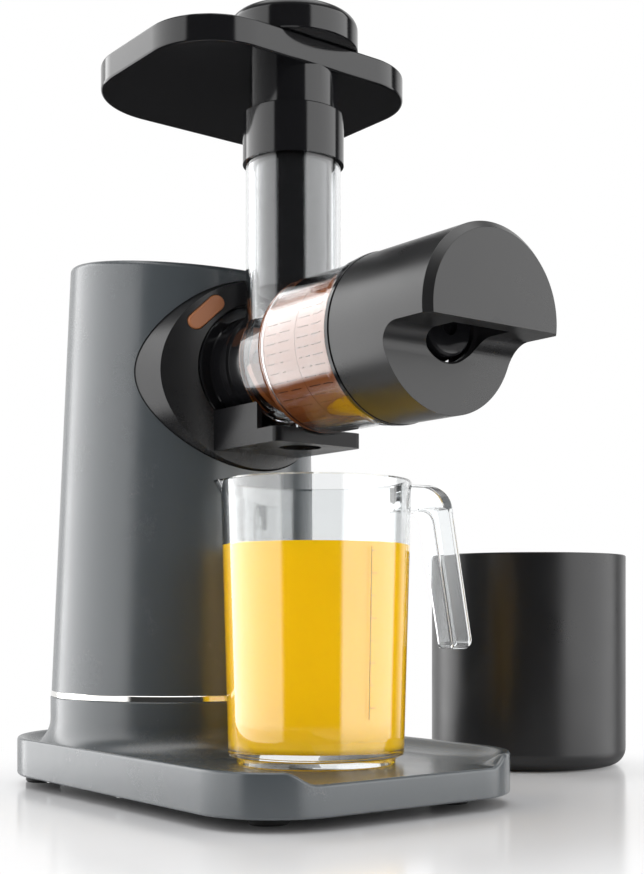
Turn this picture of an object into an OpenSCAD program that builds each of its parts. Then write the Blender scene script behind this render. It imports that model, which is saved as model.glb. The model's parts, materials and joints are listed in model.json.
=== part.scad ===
// Horizontal-auger cold press juicer with a glass-clear jug and a pulp cup.
// Millimetres, +Z up, +X along the auger towards the pulp outlet.
// The origin is on the counter, below the centre of the tower's top.

/* [Base and tower] */
// Back edge of the tray, behind the origin
tray_back = 80; // [76:0.5:90]
// Front edge of the tray
tray_front = 179; // [160:1:190]
// Half width of the tray
tray_half = 82.5; // [78:0.5:90]
// Corner radius at the front of the tray
front_corner = 40; // [25:1:50]
// Corner radius at the back of the tray
back_corner = 57; // [50:1:70]
// Underside of the tray above the counter
tray_z0 = 5.5; // [4:0.5:6]
// Top of the tray's side walls
tray_z1 = 25; // [22:0.5:30]
// Floor of the dish the jug stands in
dish_z = 19.5; // [17:0.5:21]
// Half width of the dish
dish_half = 68; // [60:1:75]
// Wall of the tray and tower mouldings
wall = 3; // [2:0.5:4]
// Radius of the tower at the trim band
tower_r = 69.3; // [66:0.1:72]
// Radius lost per millimetre of tower height
taper = 0.0304; // [0.02:0.001:0.04]
// Lean of the tower towards the front, degrees
lean = 1.86; // [0:0.1:3]
// Bottom of the trim band
band_z = 46; // [43:0.5:50]
// Height of the trim band
band_h = 3; // [2:0.5:5]
// Height of the tower's top plane above the origin
top_z = 266; // [260:1:272]
// Slope of the top plane, degrees
top_tilt = 6.84; // [3:0.1:9]

/* [Face plate and drive] */
// Height of the auger's axis
axis_z = 209; // [205:0.5:212]
// Radius of the face plate's cone where it meets the tower front
boss_r = 46.4; // [44:0.1:48]
// Growth of the cone's radius per millimetre towards the back
boss_taper = 0.234; // [0.2:0.01:0.28]
// Face plate's front on its centre line, behind the tower's widest radius
face_set = 4.8; // [4:0.1:6]
// Radius of the bayonet socket
socket_r = 32.6; // [32:0.1:34]
// Module of the slow gear pair
slow_mod = 1.25; // [1.2:0.01:1.3]
// Module of the fast gear pair
fast_mod = 0.8; // [0.75:0.01:0.85]
// Teeth of the output gear
out_teeth = 48; // [48:1:48]
// Teeth of the large idler gear
idler_teeth = 60; // [60:1:60]
// Teeth of both pinions
pinion_teeth = 12; // [12:1:12]
// Radius of the output shaft
out_r = 6; // [5.5:0.1:6.5]
// Radius of the motor can
motor_r = 27; // [25:0.5:28]

/* [Juicing chamber] */
// Radius of the black neck sleeve
neck_r = 26.5; // [26:0.1:27]
// Radius of the narrow clear section
narrow_r = 29; // [28:0.5:30]
// Radius of the wide clear section
wide_r = 36; // [35:0.5:37]
// Length of the neck sleeve in front of the face plate
neck_len = 23.5; // [22:0.5:25]
// Length of the narrow section
narrow_len = 23; // [22:0.5:25]
// Length of the wide section with its flange
wide_len = 55; // [52:0.5:57]
// Wall of the clear mouldings
clear_wall = 2.6; // [2:0.1:3]
// Chute's axis in front of the neck sleeve
chute_set = 4.3; // [3:0.1:6]
// Outside radius of the chute
chute_r = 22.7; // [22:0.1:24]
// Height of the chute above the auger's axis
chute_h = 116; // [110:1:120]
// Lip of the end cap outside the wide section
cap_lip = 1.4; // [1:0.1:2]
// Length of the end cap
cap_len = 62.5; // [58:0.5:66]
// Overhang of the end cap's hood
hood_len = 29; // [25:0.5:32]
// Underside of the end cap's hood, below the auger's axis
hood_drop = 3.8; // [3:0.1:6]
// Radius of the pulp outlet
outlet_r = 15; // [13:0.5:16]

/* [Hopper and pusher] */
// Rise from the chute's top to the hopper's tray
hopper_rise = 19.5; // [17:0.5:22]
// Depth of the hopper's tray
hopper_deep = 12.5; // [11:0.5:15]
// Half width of the hopper
hopper_half = 69.5; // [66:0.5:72]
// Back edge of the hopper, behind the chute's axis
hopper_behind = 92.3; // [88:0.1:96]
// Front edge of the hopper, ahead of the chute's axis
hopper_ahead = 21.2; // [18:0.1:26]
// Radius of the pusher's cap
pusher_r = 30.9; // [29:0.1:32]
// Height of the pusher's cap
pusher_h = 15; // [12:1:18]

/* [Jug and pulp cup] */
// Gap between the jug's foot and the flare of the tower's foot
jug_gap = 1.35; // [1:0.05:4]
// Radius of the jug's rim
jug_r1 = 44.6; // [43:0.1:46]
// Radius of the jug's foot
jug_r0 = 41; // [39:0.1:42]
// Height of the jug's rim above the counter
jug_z1 = 151; // [145:0.5:152]
// Centre of the pulp cup, along the auger
cup_x = 46; // [40:1:60]
// Centre of the pulp cup, away from the tray
cup_y = 207; // [200:1:220]
// Radius of the pulp cup
cup_r = 57.4; // [54:0.2:60]
// Height of the pulp cup
cup_h = 123.4; // [118:0.2:128]

/* [Hidden] */
$fn = 96;
eps = 0.02;
body_col = [0.36, 0.4, 0.43];
black_col = [0.05, 0.05, 0.055];
clear_col = [0.85, 0.9, 0.92, 0.4];
steel_col = [0.7, 0.71, 0.72];
copper_col = [0.66, 0.36, 0.2];
amber_col = [0.6, 0.27, 0.06];
band_top = band_z + band_h;
top_slope = tan(top_tilt);
tower_x = -(top_z - band_top) * tan(lean);
foot_r = 9;
flare_r = tower_r + 6;
face_x = tower_r - face_set;
neck_x = face_x + neck_len;
wide_x = neck_x + narrow_len;
chute_x = neck_x + chute_set;
foot_pin = 2.5;
foot_xb = -tray_back + 30;
foot_yb = tray_half - 21.5;
foot_xf = tray_front - 33;
foot_yf = tray_half - 30.5;
cover_t = 2;
panel_t = 3;
panel_r = tower_r - 10.1;
start_u = -14;
reverse_u = 16;
start_r = 10;
reverse_r = 7;
press = 1.5;
board_drop = panel_t + press + 7;
board_hole_u = [-28, 26];
board_hole_v = 16;
plate_x = 14;
plate_t = 3;
plate_half = tower_r - 19.3;
boss_z = axis_z - 2.5;
slow_c = slow_mod * (out_teeth + pinion_teeth) / 2;
fast_c = fast_mod * (idler_teeth + pinion_teeth) / 2;
idler_z = axis_z - slow_c;
motor_z = idler_z - fast_c;
plate_z0 = motor_z - 30.7;
plate_z1 = axis_z + 35;
case_x0 = plate_x + plate_t;
case_x1 = case_x0 + 30;
case_r_out = 33.6;
case_r_mid = 27.5;
case_r_low = 12;
case_wall = 1.8;
post_r = 4;
post_c = 40;
post_angles = [25, 170, 205, 340];
lug_y = plate_half - 1;
lug_z = [plate_z0 + 14, plate_z0 + 46, plate_z1 - 4];
socket_x = face_x - 10;
neck_x0 = face_x - 7;
cup_wall = 1.6;
latch_a = 135;
latch_c = 40.5;
latch_r = 3.9;
latch_half = 6.7;
latch_back = face_x - 10.5;
latch_seat = face_x - 17.5;
stop_r = 24;
flange_x = wide_x + wide_len;
spout_x = neck_x + 10;
spout_r = 9;
spout_z = axis_z - 33.2;
bracket_z0 = axis_z - 41;
bracket_x1 = spout_x + 16;
bracket_r = 4;
bracket_x0 = face_x - 4.5;
bracket_half = 25;
bracket_hole = 15;
ring_w = 2.4;
cap_r = wide_r + cap_lip;
cap_x = flange_x + ring_w + 0.1 + cap_len;
low_x = cap_x - hood_len;
hood_z = axis_z - hood_drop;
filter_ro = wide_r - clear_wall - 0.8;
filter_ri = filter_ro - 2.6;
filter_x0 = wide_x + 2.5;
filter_x1 = flange_x - 2.5;
chute_top = axis_z + chute_h;
hopper_z0 = chute_top + hopper_rise;
hopper_z1 = hopper_z0 + hopper_deep;
pusher_top = hopper_z1 + pusher_h;
collar_z = chute_top - 21.8;
collar_r = chute_r + 1.45;
throat_r = chute_r - 1.6;
stem_r = chute_r - 4.5;
stem_z = axis_z + 33;
shoulder_r = stem_r + 4.4;
chute_ri = chute_r - clear_wall;
hopper_back = chute_x - hopper_behind;
hopper_front = chute_x + hopper_ahead;
jug_x = tower_x + flare_r + jug_gap + jug_r0;
jug_foot = 7;
jug_wall = 2.2;
handle_a = 75;
handle_x = jug_r1 + 16;
handle_z = jug_z1 - dish_z - 8;
handle_end = 72 - jug_z1 + 8;
handle_lean = 9.4;
corner_r = 6.8 + 5.1 * cos(handle_lean) + 5 * sin(handle_lean);
lip_a = 232;
lip_rise = 0.58;
magnet_t = 4;
motor_hole = 19;
motor_x0 = -46;
gear_x = plate_x + 21;

function cone_r(x) = boss_r + (face_x - 1.9 - x) * boss_taper;
function roll(a) = tan(a) * 180 / PI - a;
function rise(x) = top_z - top_slope * x;

// Turns a shape drawn along +Z so that it lies along +X.
module along_x(x, y, z) {
  translate([x, y, z]) rotate([0, 90, 0]) children();
}

// A hexagon or cross-head screw lying along +X, head first.
module screw_x(x, y, z, r, len, head) {
  along_x(x, y, z) cylinder(r = r, h = len);
  difference() {
    along_x(x - head, y, z) cylinder(r = r * 1.9, h = head);
    translate([x - head - 1, y - 0.4, z - r]) cube([head, 0.8, 2 * r]);
    translate([x - head - 1, y - r, z - 0.4]) cube([head, 2 * r, 0.8]);
  }
}

// The same screw standing along +Z, head at the bottom.
module screw_z(x, y, z, r, len, head) {
  translate([x, y, z]) cylinder(r = r, h = len);
  difference() {
    translate([x, y, z - head]) cylinder(r = r * 1.9, h = head);
    translate([x - 0.4, y - r, z - head - 1]) cube([0.8, 2 * r, head]);
    translate([x - r, y - 0.4, z - head - 1]) cube([2 * r, 0.8, head]);
  }
}

// Involute flank point at radius q, turned by a.
function flank(q, a) = [q * cos(a), q * sin(a)];

module gear_shape(teeth, mod) {
  pa = 25;
  r = mod * teeth / 2;
  rb = r * cos(pa);
  ra = r + mod;
  rr = r - 1.25 * mod;
  half = 90 / teeth - 0.07 * 180 / PI / r + roll(pa);
  q0 = max(rb, rr + 0.1);
  foot = half - roll(acos(rb / q0));
  steps = [for (i = [0:4]) q0 + (ra - q0) * i / 4];
  polygon([for (t = [0:teeth - 1]) each concat(
    [flank(rr, t * 360 / teeth - foot)],
    [for (q = steps) flank(q, t * 360 / teeth - half + roll(acos(rb / q)))],
    [for (i = [4:-1:0]) flank(steps[i], t * 360 / teeth + half - roll(acos(rb / steps[i])))],
    [flank(rr, t * 360 / teeth + foot)])]);
}

module spur(teeth, mod, x, z, width, phase) {
  along_x(x, 0, z) rotate([0, 0, phase]) linear_extrude(width) gear_shape(teeth, mod);
}

// Coil spring made of stacked rings joined by a slim seam.
module coil(r, wire, len, turns) {
  pitch = (len - wire) / turns;
  for (i = [0:turns]) {
    translate([0, 0, wire / 2 + i * pitch]) rotate_extrude() translate([r, 0]) circle(r = wire / 2, $fn = 16);
  }
  translate([r - wire / 4, -wire / 4, wire / 2]) cube([wire / 2, wire / 2, len - wire]);
}

module tray_plan(inset) {
  b = back_corner;
  f = front_corner;
  h = tray_half;
  union() {
    translate([-tray_back + b, -h + inset]) square([tray_back + tray_front - b - f, 2 * (h - inset)]);
    translate([-tray_back + inset, -h + b]) square([b, 2 * (h - b)]);
    translate([tray_front - f, -h + f]) square([f - inset, 2 * (h - f)]);
    for (s = [-1, 1]) {
      translate([-tray_back + b, s * (h - b)]) circle(r = b - inset);
      translate([tray_front - f, s * (h - f)]) circle(r = f - inset);
    }
  }
}

// Solid of the leaning tower, reduced by inset, between its band and top.
module tower_solid(inset) {
  low = 12;
  intersection() {
    translate([tower_x, 0, band_top]) rotate([0, lean, 0]) translate([0, 0, -low])
      cylinder(r1 = tower_r - inset + low * taper, r2 = tower_r - inset - 240 * taper, h = 240 + low);
    translate([-100, -100, band_top]) cube([200, 200, 260]);
  }
}

module above_top(drop) {
  translate([0, 0, top_z - drop]) rotate([0, top_tilt, 0]) translate([-120, -100, 0]) cube([240, 200, 80]);
}

// Places a shape in the plane of the top panel, u along the slope.
module on_top(u, drop) {
  translate([0, 0, top_z]) rotate([0, top_tilt, 0]) translate([u, 0, -drop]) children();
}

module boss_cone(grow, x0) {
  x1 = face_x + 15.5;
  along_x(x0, 0, boss_z) cylinder(r1 = cone_r(x0) + grow, r2 = cone_r(x1) + grow, h = x1 - x0);
}

module tray_base() {
  color(body_col) difference() {
    union() {
      translate([0, 0, tray_z0]) linear_extrude(tray_z1 - tray_z0) tray_plan(0);
      translate([tower_x, 0, tray_z1 - 1]) rotate_extrude() difference() {
        square([flare_r, band_z - tray_z1 + 1]);
        translate([tower_r + 16.6, 17]) circle(r = 16);
        translate([tower_r + 0.6, 17]) square([30, 40]);
      }
    }
    // dish for the jug, open at the front
    translate([0, 0, dish_z]) linear_extrude(20) difference() {
      translate([20, -dish_half]) square([200, 2 * dish_half]);
      translate([tower_x, 0]) circle(r = flare_r);
      translate([10, -100]) square([32, 200]);
    }
    // hollow underside
    translate([0, 0, tray_z0 - 1]) linear_extrude(dish_z - wall - tray_z0 + 1) tray_plan(wall);
    translate([0, 0, tray_z0]) linear_extrude(tray_z1 - wall - tray_z0) difference() {
      tray_plan(wall);
      translate([40 - wall, -dish_half - wall]) square([200, 2 * (dish_half + wall)]);
    }
    translate([tower_x, 0, tray_z0]) cylinder(r = tower_r - wall, h = band_z);
    // opening for the mains inlet
    translate([-tray_back - 10, -11, tray_z0 + 3.5]) cube([20, 22, 13]);
  }
  // screw pillars
  color(body_col) for (p = cover_points()) {
    difference() {
      translate([p[0], p[1], tray_z0 + cover_t]) cylinder(r = 4.5, h = p[2] - wall - tray_z0 - cover_t + 0.5);
      translate([p[0], p[1], tray_z0]) cylinder(r = 1.6, h = 9);
    }
  }
}

function side_y() = tray_half - 8.5;
function cover_points() = [[-12, side_y(), tray_z1], [-12, -side_y(), tray_z1], [60, side_y(), tray_z1],
  [60, -side_y(), tray_z1], [95, 0, dish_z], [tray_front - 13, 20, dish_z], [tray_front - 13, -20, dish_z]];

module bottom_cover() {
  color(black_col) difference() {
    translate([0, 0, tray_z0]) linear_extrude(cover_t) tray_plan(wall + 0.3);
    for (p = cover_points()) {
      translate([p[0], p[1], tray_z0 - 1]) cylinder(r = 1.9, h = 10);
    }
    for (i = [0:5]) {
      translate([-20 + 8 * i, -20, tray_z0 - 1]) cube([3, 40, 10]);
    }
    for (s = [-1, 1]) {
      translate([foot_xb, s * foot_yb, tray_z0 - 1]) cylinder(r = foot_pin, h = 10);
      translate([foot_xf, s * foot_yf, tray_z0 - 1]) cylinder(r = foot_pin, h = 10);
    }
  }
}

module cover_screws() {
  color(steel_col) for (p = cover_points()) {
    screw_z(p[0], p[1], tray_z0, 1.6, 9, 1.4);
  }
}

module foot(x, y) {
  color(black_col) translate([x, y, 0]) difference() {
    union() {
      cylinder(r = foot_r, h = tray_z0);
      cylinder(r = foot_pin, h = tray_z0 + cover_t);
    }
    translate([0, 0, -1]) cylinder(r = foot_r - 4, h = 2);
  }
}

module foot_back_left() {
  foot(foot_xb, foot_yb);
}

module foot_back_right() {
  foot(foot_xb, -foot_yb);
}

module foot_front_left() {
  foot(foot_xf, foot_yf);
}

module foot_front_right() {
  foot(foot_xf, -foot_yf);
}

module trim_band() {
  color(steel_col) translate([tower_x, 0, band_z]) difference() {
    cylinder(r = tower_r + 0.2, h = band_h);
    translate([0, 0, -1]) cylinder(r = tower_r - wall, h = band_h + 2);
  }
}

module tower_shell() {
  color(body_col) difference() {
    union() {
      difference() {
        tower_solid(0);
        difference() {
          translate([0, 0, -eps]) tower_solid(wall);
          above_top(-50);
        }
      }
      // ledge under the top panel
      intersection() {
        tower_solid(wall / 2);
        on_top(0, panel_t + 3) difference() {
          translate([0, 0, 0]) cylinder(r = 80, h = 3);
          translate([0, 0, -1]) cylinder(r = panel_r - 3, h = 5);
        }
      }
      // lugs for the chassis plate
      intersection() {
        tower_solid(wall / 2);
        for (s = [-1, 1]) {
          for (z = lug_z) {
            translate([plate_x + plate_t, s * 56 - 11, z - 5]) cube([12, 22, 10]);
          }
        }
      }
    }
    above_top(0);
    // clearance round the face plate
    boss_cone(0.3, face_x - 44.5);
    for (s = [-1, 1]) {
      for (z = lug_z) {
        along_x(plate_x, s * lug_y, z) cylinder(r = 1.6, h = 12);
      }
    }
  }
}

module top_panel() {
  color(black_col) difference() {
    union() {
      on_top(0, panel_t) cylinder(r = panel_r, h = panel_t);
      for (u = board_hole_u) {
        for (s = [-1, 1]) {
          on_top(u, board_drop) translate([0, s * board_hole_v, 0])
            cylinder(r = 3, h = board_drop - panel_t / 2);
        }
      }
    }
    for (u = board_hole_u) {
      for (s = [-1, 1]) {
        on_top(u, board_drop + 1) translate([0, s * board_hole_v, 0]) cylinder(r = 1.25, h = 6);
      }
    }
    on_top(start_u, 10) cylinder(r = start_r + 0.3, h = 20);
    on_top(reverse_u, 10) cylinder(r = reverse_r + 0.3, h = 20);
    boss_cone(0.6, face_x - 44.5);
  }
}

module push_button(u, r) {
  on_top(u, panel_t + 1) union() {
    cylinder(r = r + 1.6, h = 1);
    cylinder(r = r, h = panel_t + 2.4);
  }
  on_top(u, board_drop - press - 1.5) cylinder(r = 1.5, h = board_drop - press - 1.5 - panel_t);
}

module start_button() {
  color(copper_col) push_button(start_u, start_r);
}

module reverse_button() {
  color(steel_col) push_button(reverse_u, reverse_r);
}

module start_spring() {
  color(steel_col) on_top(start_u, board_drop) coil(4, 0.8, board_drop - panel_t - 1, 5);
}

module reverse_spring() {
  color(steel_col) on_top(reverse_u, board_drop) coil(4, 0.8, board_drop - panel_t - 1, 5);
}

module control_board() {
  color([0.05, 0.25, 0.12]) on_top(0, board_drop + 1.6) difference() {
    translate([-32, -20, 0]) cube([62, 40, 1.6]);
    for (u = board_hole_u) {
      for (s = [-1, 1]) {
        translate([u, s * board_hole_v, -1]) cylinder(r = 1.5, h = 4);
      }
    }
  }
}

module start_switch() {
  color(black_col) on_top(start_u, board_drop) cylinder(r = 2.6, h = 1.4);
}

module reverse_switch() {
  color(black_col) on_top(reverse_u, board_drop) cylinder(r = 2.6, h = 1.4);
}

module power_module() {
  color(black_col) on_top(-24, board_drop + 13.6) translate([0, -12, 0]) union() {
    cube([22, 24, 12]);
    translate([24, 3, 4]) cube([10, 18, 8]);
    translate([20, 6, 10]) cube([6, 12, 2]);
  }
}

module board_screws() {
  color(steel_col) for (u = board_hole_u) {
    for (s = [-1, 1]) {
      on_top(u, board_drop + 3) translate([0, s * board_hole_v, 0]) union() {
        cylinder(r = 2.4, h = 1.4);
        cylinder(r = 1.25, h = 7);
      }
    }
  }
}

module front_curve(x, h) {
  translate([x - 98, 0, boss_z - h]) cylinder(r = 98, h = 2 * h, $fn = 192);
}

function post_y(a) = post_c * cos(a);
function post_z(a) = boss_z + post_c * sin(a);
function latch_y() = latch_c * cos(latch_a);
function latch_zz() = boss_z + latch_c * sin(latch_a);

module latch_slot(grow, longer, x0, x1) {
  h = latch_half + longer;
  translate([x0, latch_y(), latch_zz()]) rotate([latch_a - 90, 0, 0]) union() {
    for (s = [-1, 1]) {
      translate([0, s * h, 0]) rotate([0, 90, 0]) cylinder(r = latch_r + grow, h = x1 - x0);
    }
    translate([0, -h, -latch_r - grow]) cube([x1 - x0, 2 * h, 2 * (latch_r + grow)]);
  }
}

// Finger of the latch, running out from the auger's axis.
module latch_finger(grow, x0, x1, r0, r1) {
  w = 2 + grow;
  translate([x0, 0, axis_z]) rotate([latch_a - 90, 0, 0]) translate([0, -w, r0])
    cube([x1 - x0, 2 * w, r1 - r0]);
}

module face_plate() {
  color(black_col) difference() {
    union() {
      difference() {
        intersection() {
          boss_cone(0, face_x - 34.5);
          front_curve(face_x, 70);
        }
        difference() {
          intersection() {
            boss_cone(-wall, face_x - 44.5);
            front_curve(face_x - wall, 70);
          }
          along_x(socket_x - 2.5, 0, axis_z) cylinder(r = socket_r + cup_wall, h = 20);
        }
        // trimmed to the inside of the tower's wall
        difference() {
          tower_solid(wall + 4);
          along_x(socket_x - 2.5, 0, axis_z) cylinder(r = socket_r + cup_wall, h = 20);
        }
      }
      for (a = post_angles) {
        along_x(case_x0, post_y(a), post_z(a)) cylinder(r = post_r, h = socket_x + 0.5 - case_x0);
      }
      // seat of the latch spring
      intersection() {
        boss_cone(-wall / 2, face_x - 44.5);
        translate([latch_seat - 2, latch_y(), latch_zz()]) rotate([latch_a - 90, 0, 0])
          translate([0, -5, -5]) cube([2, 10, 20]);
      }
    }
    difference() {
      along_x(socket_x, 0, axis_z) cylinder(r = socket_r, h = 20);
      along_x(socket_x - 1, 0, axis_z) cylinder(r = stop_r, h = neck_x0 - socket_x + 1);
    }
    along_x(socket_x - eps, 0, axis_z) cylinder(r = stop_r - 3, h = 20);
    along_x(socket_x - 14.5, 0, axis_z) cylinder(r = 9, h = 20);
    latch_slot(0.3, 0, socket_x - 4.5, face_x + 5.5);
    latch_finger(0.3, socket_x, neck_x0 + 3.3, socket_r - 2, socket_r + 3);
    for (a = post_angles) {
      along_x(case_x0 - 1, post_y(a), post_z(a)) cylinder(r = 1.6, h = 13);
    }
    for (s = [-1, 1]) {
      along_x(face_x - 9.5, s * bracket_hole, bracket_z0 + 3.5) cylinder(r = 1.45, h = 12);
    }
  }
}

module face_screws() {
  color(steel_col) for (a = post_angles) {
    screw_x(plate_x, post_y(a), post_z(a), 1.6, plate_t + 10, 1.6);
  }
}

module release_button() {
  color(copper_col) union() {
    intersection() {
      latch_slot(0, 0, latch_back, face_x + 5.5);
      front_curve(face_x + 0.8, 70);
    }
    intersection() {
      latch_slot(0, 1.6, latch_back, face_x - 4.5);
      front_curve(face_x - wall - 0.1, 70);
      boss_cone(-wall - 0.3, face_x - 44.5);
    }
    latch_finger(0, neck_x0 + 0.1, neck_x0 + 2.9, socket_r - 3.1, socket_r + 4.4);
  }
}

module release_spring() {
  color(steel_col) along_x(latch_seat, latch_y(), latch_zz()) coil(3, 0.7, latch_back - latch_seat, 5);
}

module shaft_seal() {
  color([0.35, 0.35, 0.36]) along_x(socket_x - 3.4, 0, axis_z) difference() {
    union() {
      cylinder(r = 9, h = 3.4);
      cylinder(r = 11, h = 0.9);
    }
    translate([0, 0, -1]) cylinder(r = out_r + 0.03, h = 6);
  }
}

module spout_bracket() {
  color(black_col) difference() {
    union() {
      translate([bracket_x0, -bracket_half, bracket_z0]) cube([neck_x - bracket_x0, 2 * bracket_half, 22]);
      translate([bracket_x0, -bracket_half, bracket_z0]) cube([spout_x - bracket_x0, 2 * bracket_half, 12]);
      translate([bracket_x0, -bracket_half, bracket_z0])
        cube([bracket_x1 - bracket_r - bracket_x0, 2 * bracket_half, 7]);
      for (s = [-1, 1]) {
        translate([bracket_x1 - bracket_r, s * (bracket_half - bracket_r), bracket_z0])
          cylinder(r = bracket_r, h = 7);
      }
      translate([bracket_x1 - bracket_r, -bracket_half + bracket_r, bracket_z0])
        cube([bracket_r, 2 * (bracket_half - bracket_r), 7]);
    }
    front_curve(face_x + 0.05, 70);
    along_x(neck_x0 - 7.5, 0, axis_z) cylinder(r = socket_r + 0.3, h = 80);
    along_x(wide_x - 1, 0, axis_z) cylinder(r = wide_r + 0.6, h = 20);
    translate([face_x + 1.5, -bracket_half + 3, bracket_z0 + 7]) cube([60, 2 * bracket_half - 6, 40]);
    translate([spout_x, 0, bracket_z0 - 1]) cylinder(r = spout_r + 1, h = 20);
    for (s = [-1, 1]) {
      along_x(face_x - 6.5, s * bracket_hole, bracket_z0 + 3.5) cylinder(r = 1.25, h = 18);
    }
  }
}

module bracket_screws() {
  color(steel_col) for (s = [-1, 1]) {
    screw_x(face_x - wall - 1.7, s * bracket_hole, bracket_z0 + 3.5, 1.25, 14.5, 1.4);
  }
}

module chassis_plate() {
  color(steel_col) difference() {
    translate([plate_x, -plate_half, plate_z0]) cube([plate_t, 2 * plate_half, plate_z1 - plate_z0]);
    along_x(0, 0, motor_z) cylinder(r = 8.1, h = 30);
    along_x(0, 0, axis_z) cylinder(r = 9.1, h = 30);
    along_x(0, 0, idler_z) cylinder(r = 3, h = 30);
    for (a = post_angles) {
      along_x(0, post_y(a), post_z(a)) cylinder(r = 1.9, h = 30);
    }
    for (s = [-1, 1]) {
      for (z = lug_z) {
        along_x(0, s * lug_y, z) cylinder(r = 1.9, h = 30);
      }
      along_x(0, s * motor_hole, motor_z) cylinder(r = 1.9, h = 30);
    }
    for (p = case_points()) {
      along_x(0, p[0], p[1]) cylinder(r = 1.6, h = 30);
    }
  }
}

module chassis_screws() {
  color(steel_col) for (s = [-1, 1]) {
    for (z = lug_z) {
      screw_x(plate_x, s * lug_y, z, 1.6, plate_t + 9, 1.6);
    }
  }
}

function case_points() = [[0, axis_z + 36.5], [27.6, axis_z - 24], [-27.6, axis_z - 24],
  [8, motor_z - 13.4], [-8, motor_z - 13.4]];

module case_plan(inset) {
  translate([-axis_z, 0]) circle(r = case_r_out - inset);
  translate([-idler_z, 0]) circle(r = case_r_mid - inset);
  translate([-motor_z, 0]) circle(r = case_r_low - inset);
}

module gearbox_case() {
  color([0.2, 0.2, 0.21]) difference() {
    union() {
      along_x(case_x0, 0, 0) linear_extrude(case_x1 - case_x0 - 2.5) case_plan(0);
      for (p = case_points()) {
        along_x(case_x0, p[0], p[1]) cylinder(r = 4, h = case_x1 - case_x0 - 2.5);
      }
    }
    along_x(case_x0 + 2.5, 0, 0) linear_extrude(60) case_plan(case_wall);
    along_x(0, 0, axis_z) cylinder(r = 9.1, h = 60);
    along_x(0, 0, motor_z) cylinder(r = 7.1, h = 60);
    along_x(case_x0 - 1, 0, idler_z) cylinder(r = 3.02, h = 60);
    for (p = case_points()) {
      along_x(0, p[0], p[1]) cylinder(r = 1.6, h = 80);
    }
  }
}

module gearbox_cover() {
  color([0.2, 0.2, 0.21]) difference() {
    union() {
      along_x(case_x1 - 2.5, 0, 0) linear_extrude(2.5) case_plan(0);
      for (p = case_points()) {
        along_x(case_x1 - 2.5, p[0], p[1]) cylinder(r = 4, h = 2.5);
      }
      along_x(case_x1 - 2.5, 0, axis_z) cylinder(r = 12, h = 5);
    }
    along_x(0, 0, axis_z) cylinder(r = 9.1, h = 80);
    along_x(0, 0, idler_z) cylinder(r = 3.02, h = 80);
    for (p = case_points()) {
      along_x(0, p[0], p[1]) cylinder(r = 1.9, h = 80);
    }
  }
}

module gearbox_screws() {
  color(steel_col) for (p = case_points()) {
    translate([2 * case_x1, 0, 0]) mirror([1, 0, 0])
      screw_x(case_x1, p[0], p[1], 1.6, case_x1 - plate_x - 0.5, 1.6);
  }
}

module bearing(x, bore_r) {
  along_x(x, 0, axis_z) difference() {
    cylinder(r = 9.1, h = 5);
    translate([0, 0, -1]) cylinder(r = bore_r, h = 8);
  }
}

module output_bearing_back() {
  color(steel_col) bearing(plate_x, out_r + 0.03);
}

module output_bearing_front() {
  color(steel_col) bearing(case_x1 - 2.5, out_r + 0.03);
}

module output_shaft() {
  color(steel_col) union() {
    along_x(plate_x, 0, axis_z) cylinder(r = out_r, h = socket_x + 2 - plate_x);
    along_x(plate_x + 5, 0, axis_z) cylinder(r = out_r + 1.6, h = 8);
    // square drive for the auger
    translate([socket_x + 1.5, -3.6, axis_z - 3.6]) cube([12, 7.2, 7.2]);
  }
}

module output_gear() {
  color([0.85, 0.84, 0.78]) difference() {
    union() {
      spur(out_teeth, slow_mod, gear_x, axis_z, 7, 0);
      along_x(gear_x - 5, 0, axis_z) cylinder(r = 11, h = 12);
    }
    along_x(gear_x - 10, 0, axis_z) cylinder(r = out_r, h = 40);
    for (a = [0:60:300]) {
      along_x(gear_x - 10, 20 * sin(a), axis_z + 20 * cos(a)) cylinder(r = 5, h = 40);
    }
  }
}

module idler_gear() {
  color([0.85, 0.84, 0.78]) difference() {
    union() {
      spur(idler_teeth, fast_mod, case_x0 + 4, idler_z, 6, 0);
      spur(pinion_teeth, slow_mod, case_x0 + 9, idler_z, 16.3, 15);
    }
    along_x(0, 0, idler_z) cylinder(r = 3.05, h = 60);
  }
}

module idler_pin() {
  color(steel_col) along_x(plate_x + 0.5, 0, idler_z) cylinder(r = 3, h = case_x1 - plate_x - 0.5);
}

module motor_pinion() {
  color([0.75, 0.6, 0.3]) difference() {
    spur(pinion_teeth, fast_mod, case_x0 + 3.5, motor_z, 7, 15);
    along_x(0, 0, motor_z) cylinder(r = 2.5, h = 60);
  }
}

module motor_shaft() {
  color(steel_col) along_x(motor_x0 + 1, 0, motor_z) cylinder(r = 2.5, h = case_x0 + 11 - motor_x0 - 1);
}

module armature() {
  color([0.45, 0.3, 0.2]) along_x(motor_x0 + 14, 0, motor_z) difference() {
    union() {
      cylinder(r = 19, h = 34);
      translate([0, 0, -8]) cylinder(r = 8, h = 8);
    }
    translate([0, 0, -9]) cylinder(r = 2.5, h = 60);
    for (a = [0:30:330]) {
      rotate([0, 0, a]) translate([12, -1, -1]) cube([10, 2, 36]);
    }
  }
}

module motor_magnets() {
  color([0.25, 0.25, 0.27]) along_x(motor_x0 + 12, 0, motor_z) difference() {
    cylinder(r = motor_r - 1.5, h = 38);
    translate([0, 0, -1]) cylinder(r = motor_r - 1.5 - magnet_t, h = 40);
    for (a = [0, 90]) {
      rotate([0, 0, a + 45]) translate([-40, -3, -1]) cube([80, 6, 40]);
    }
  }
}

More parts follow.
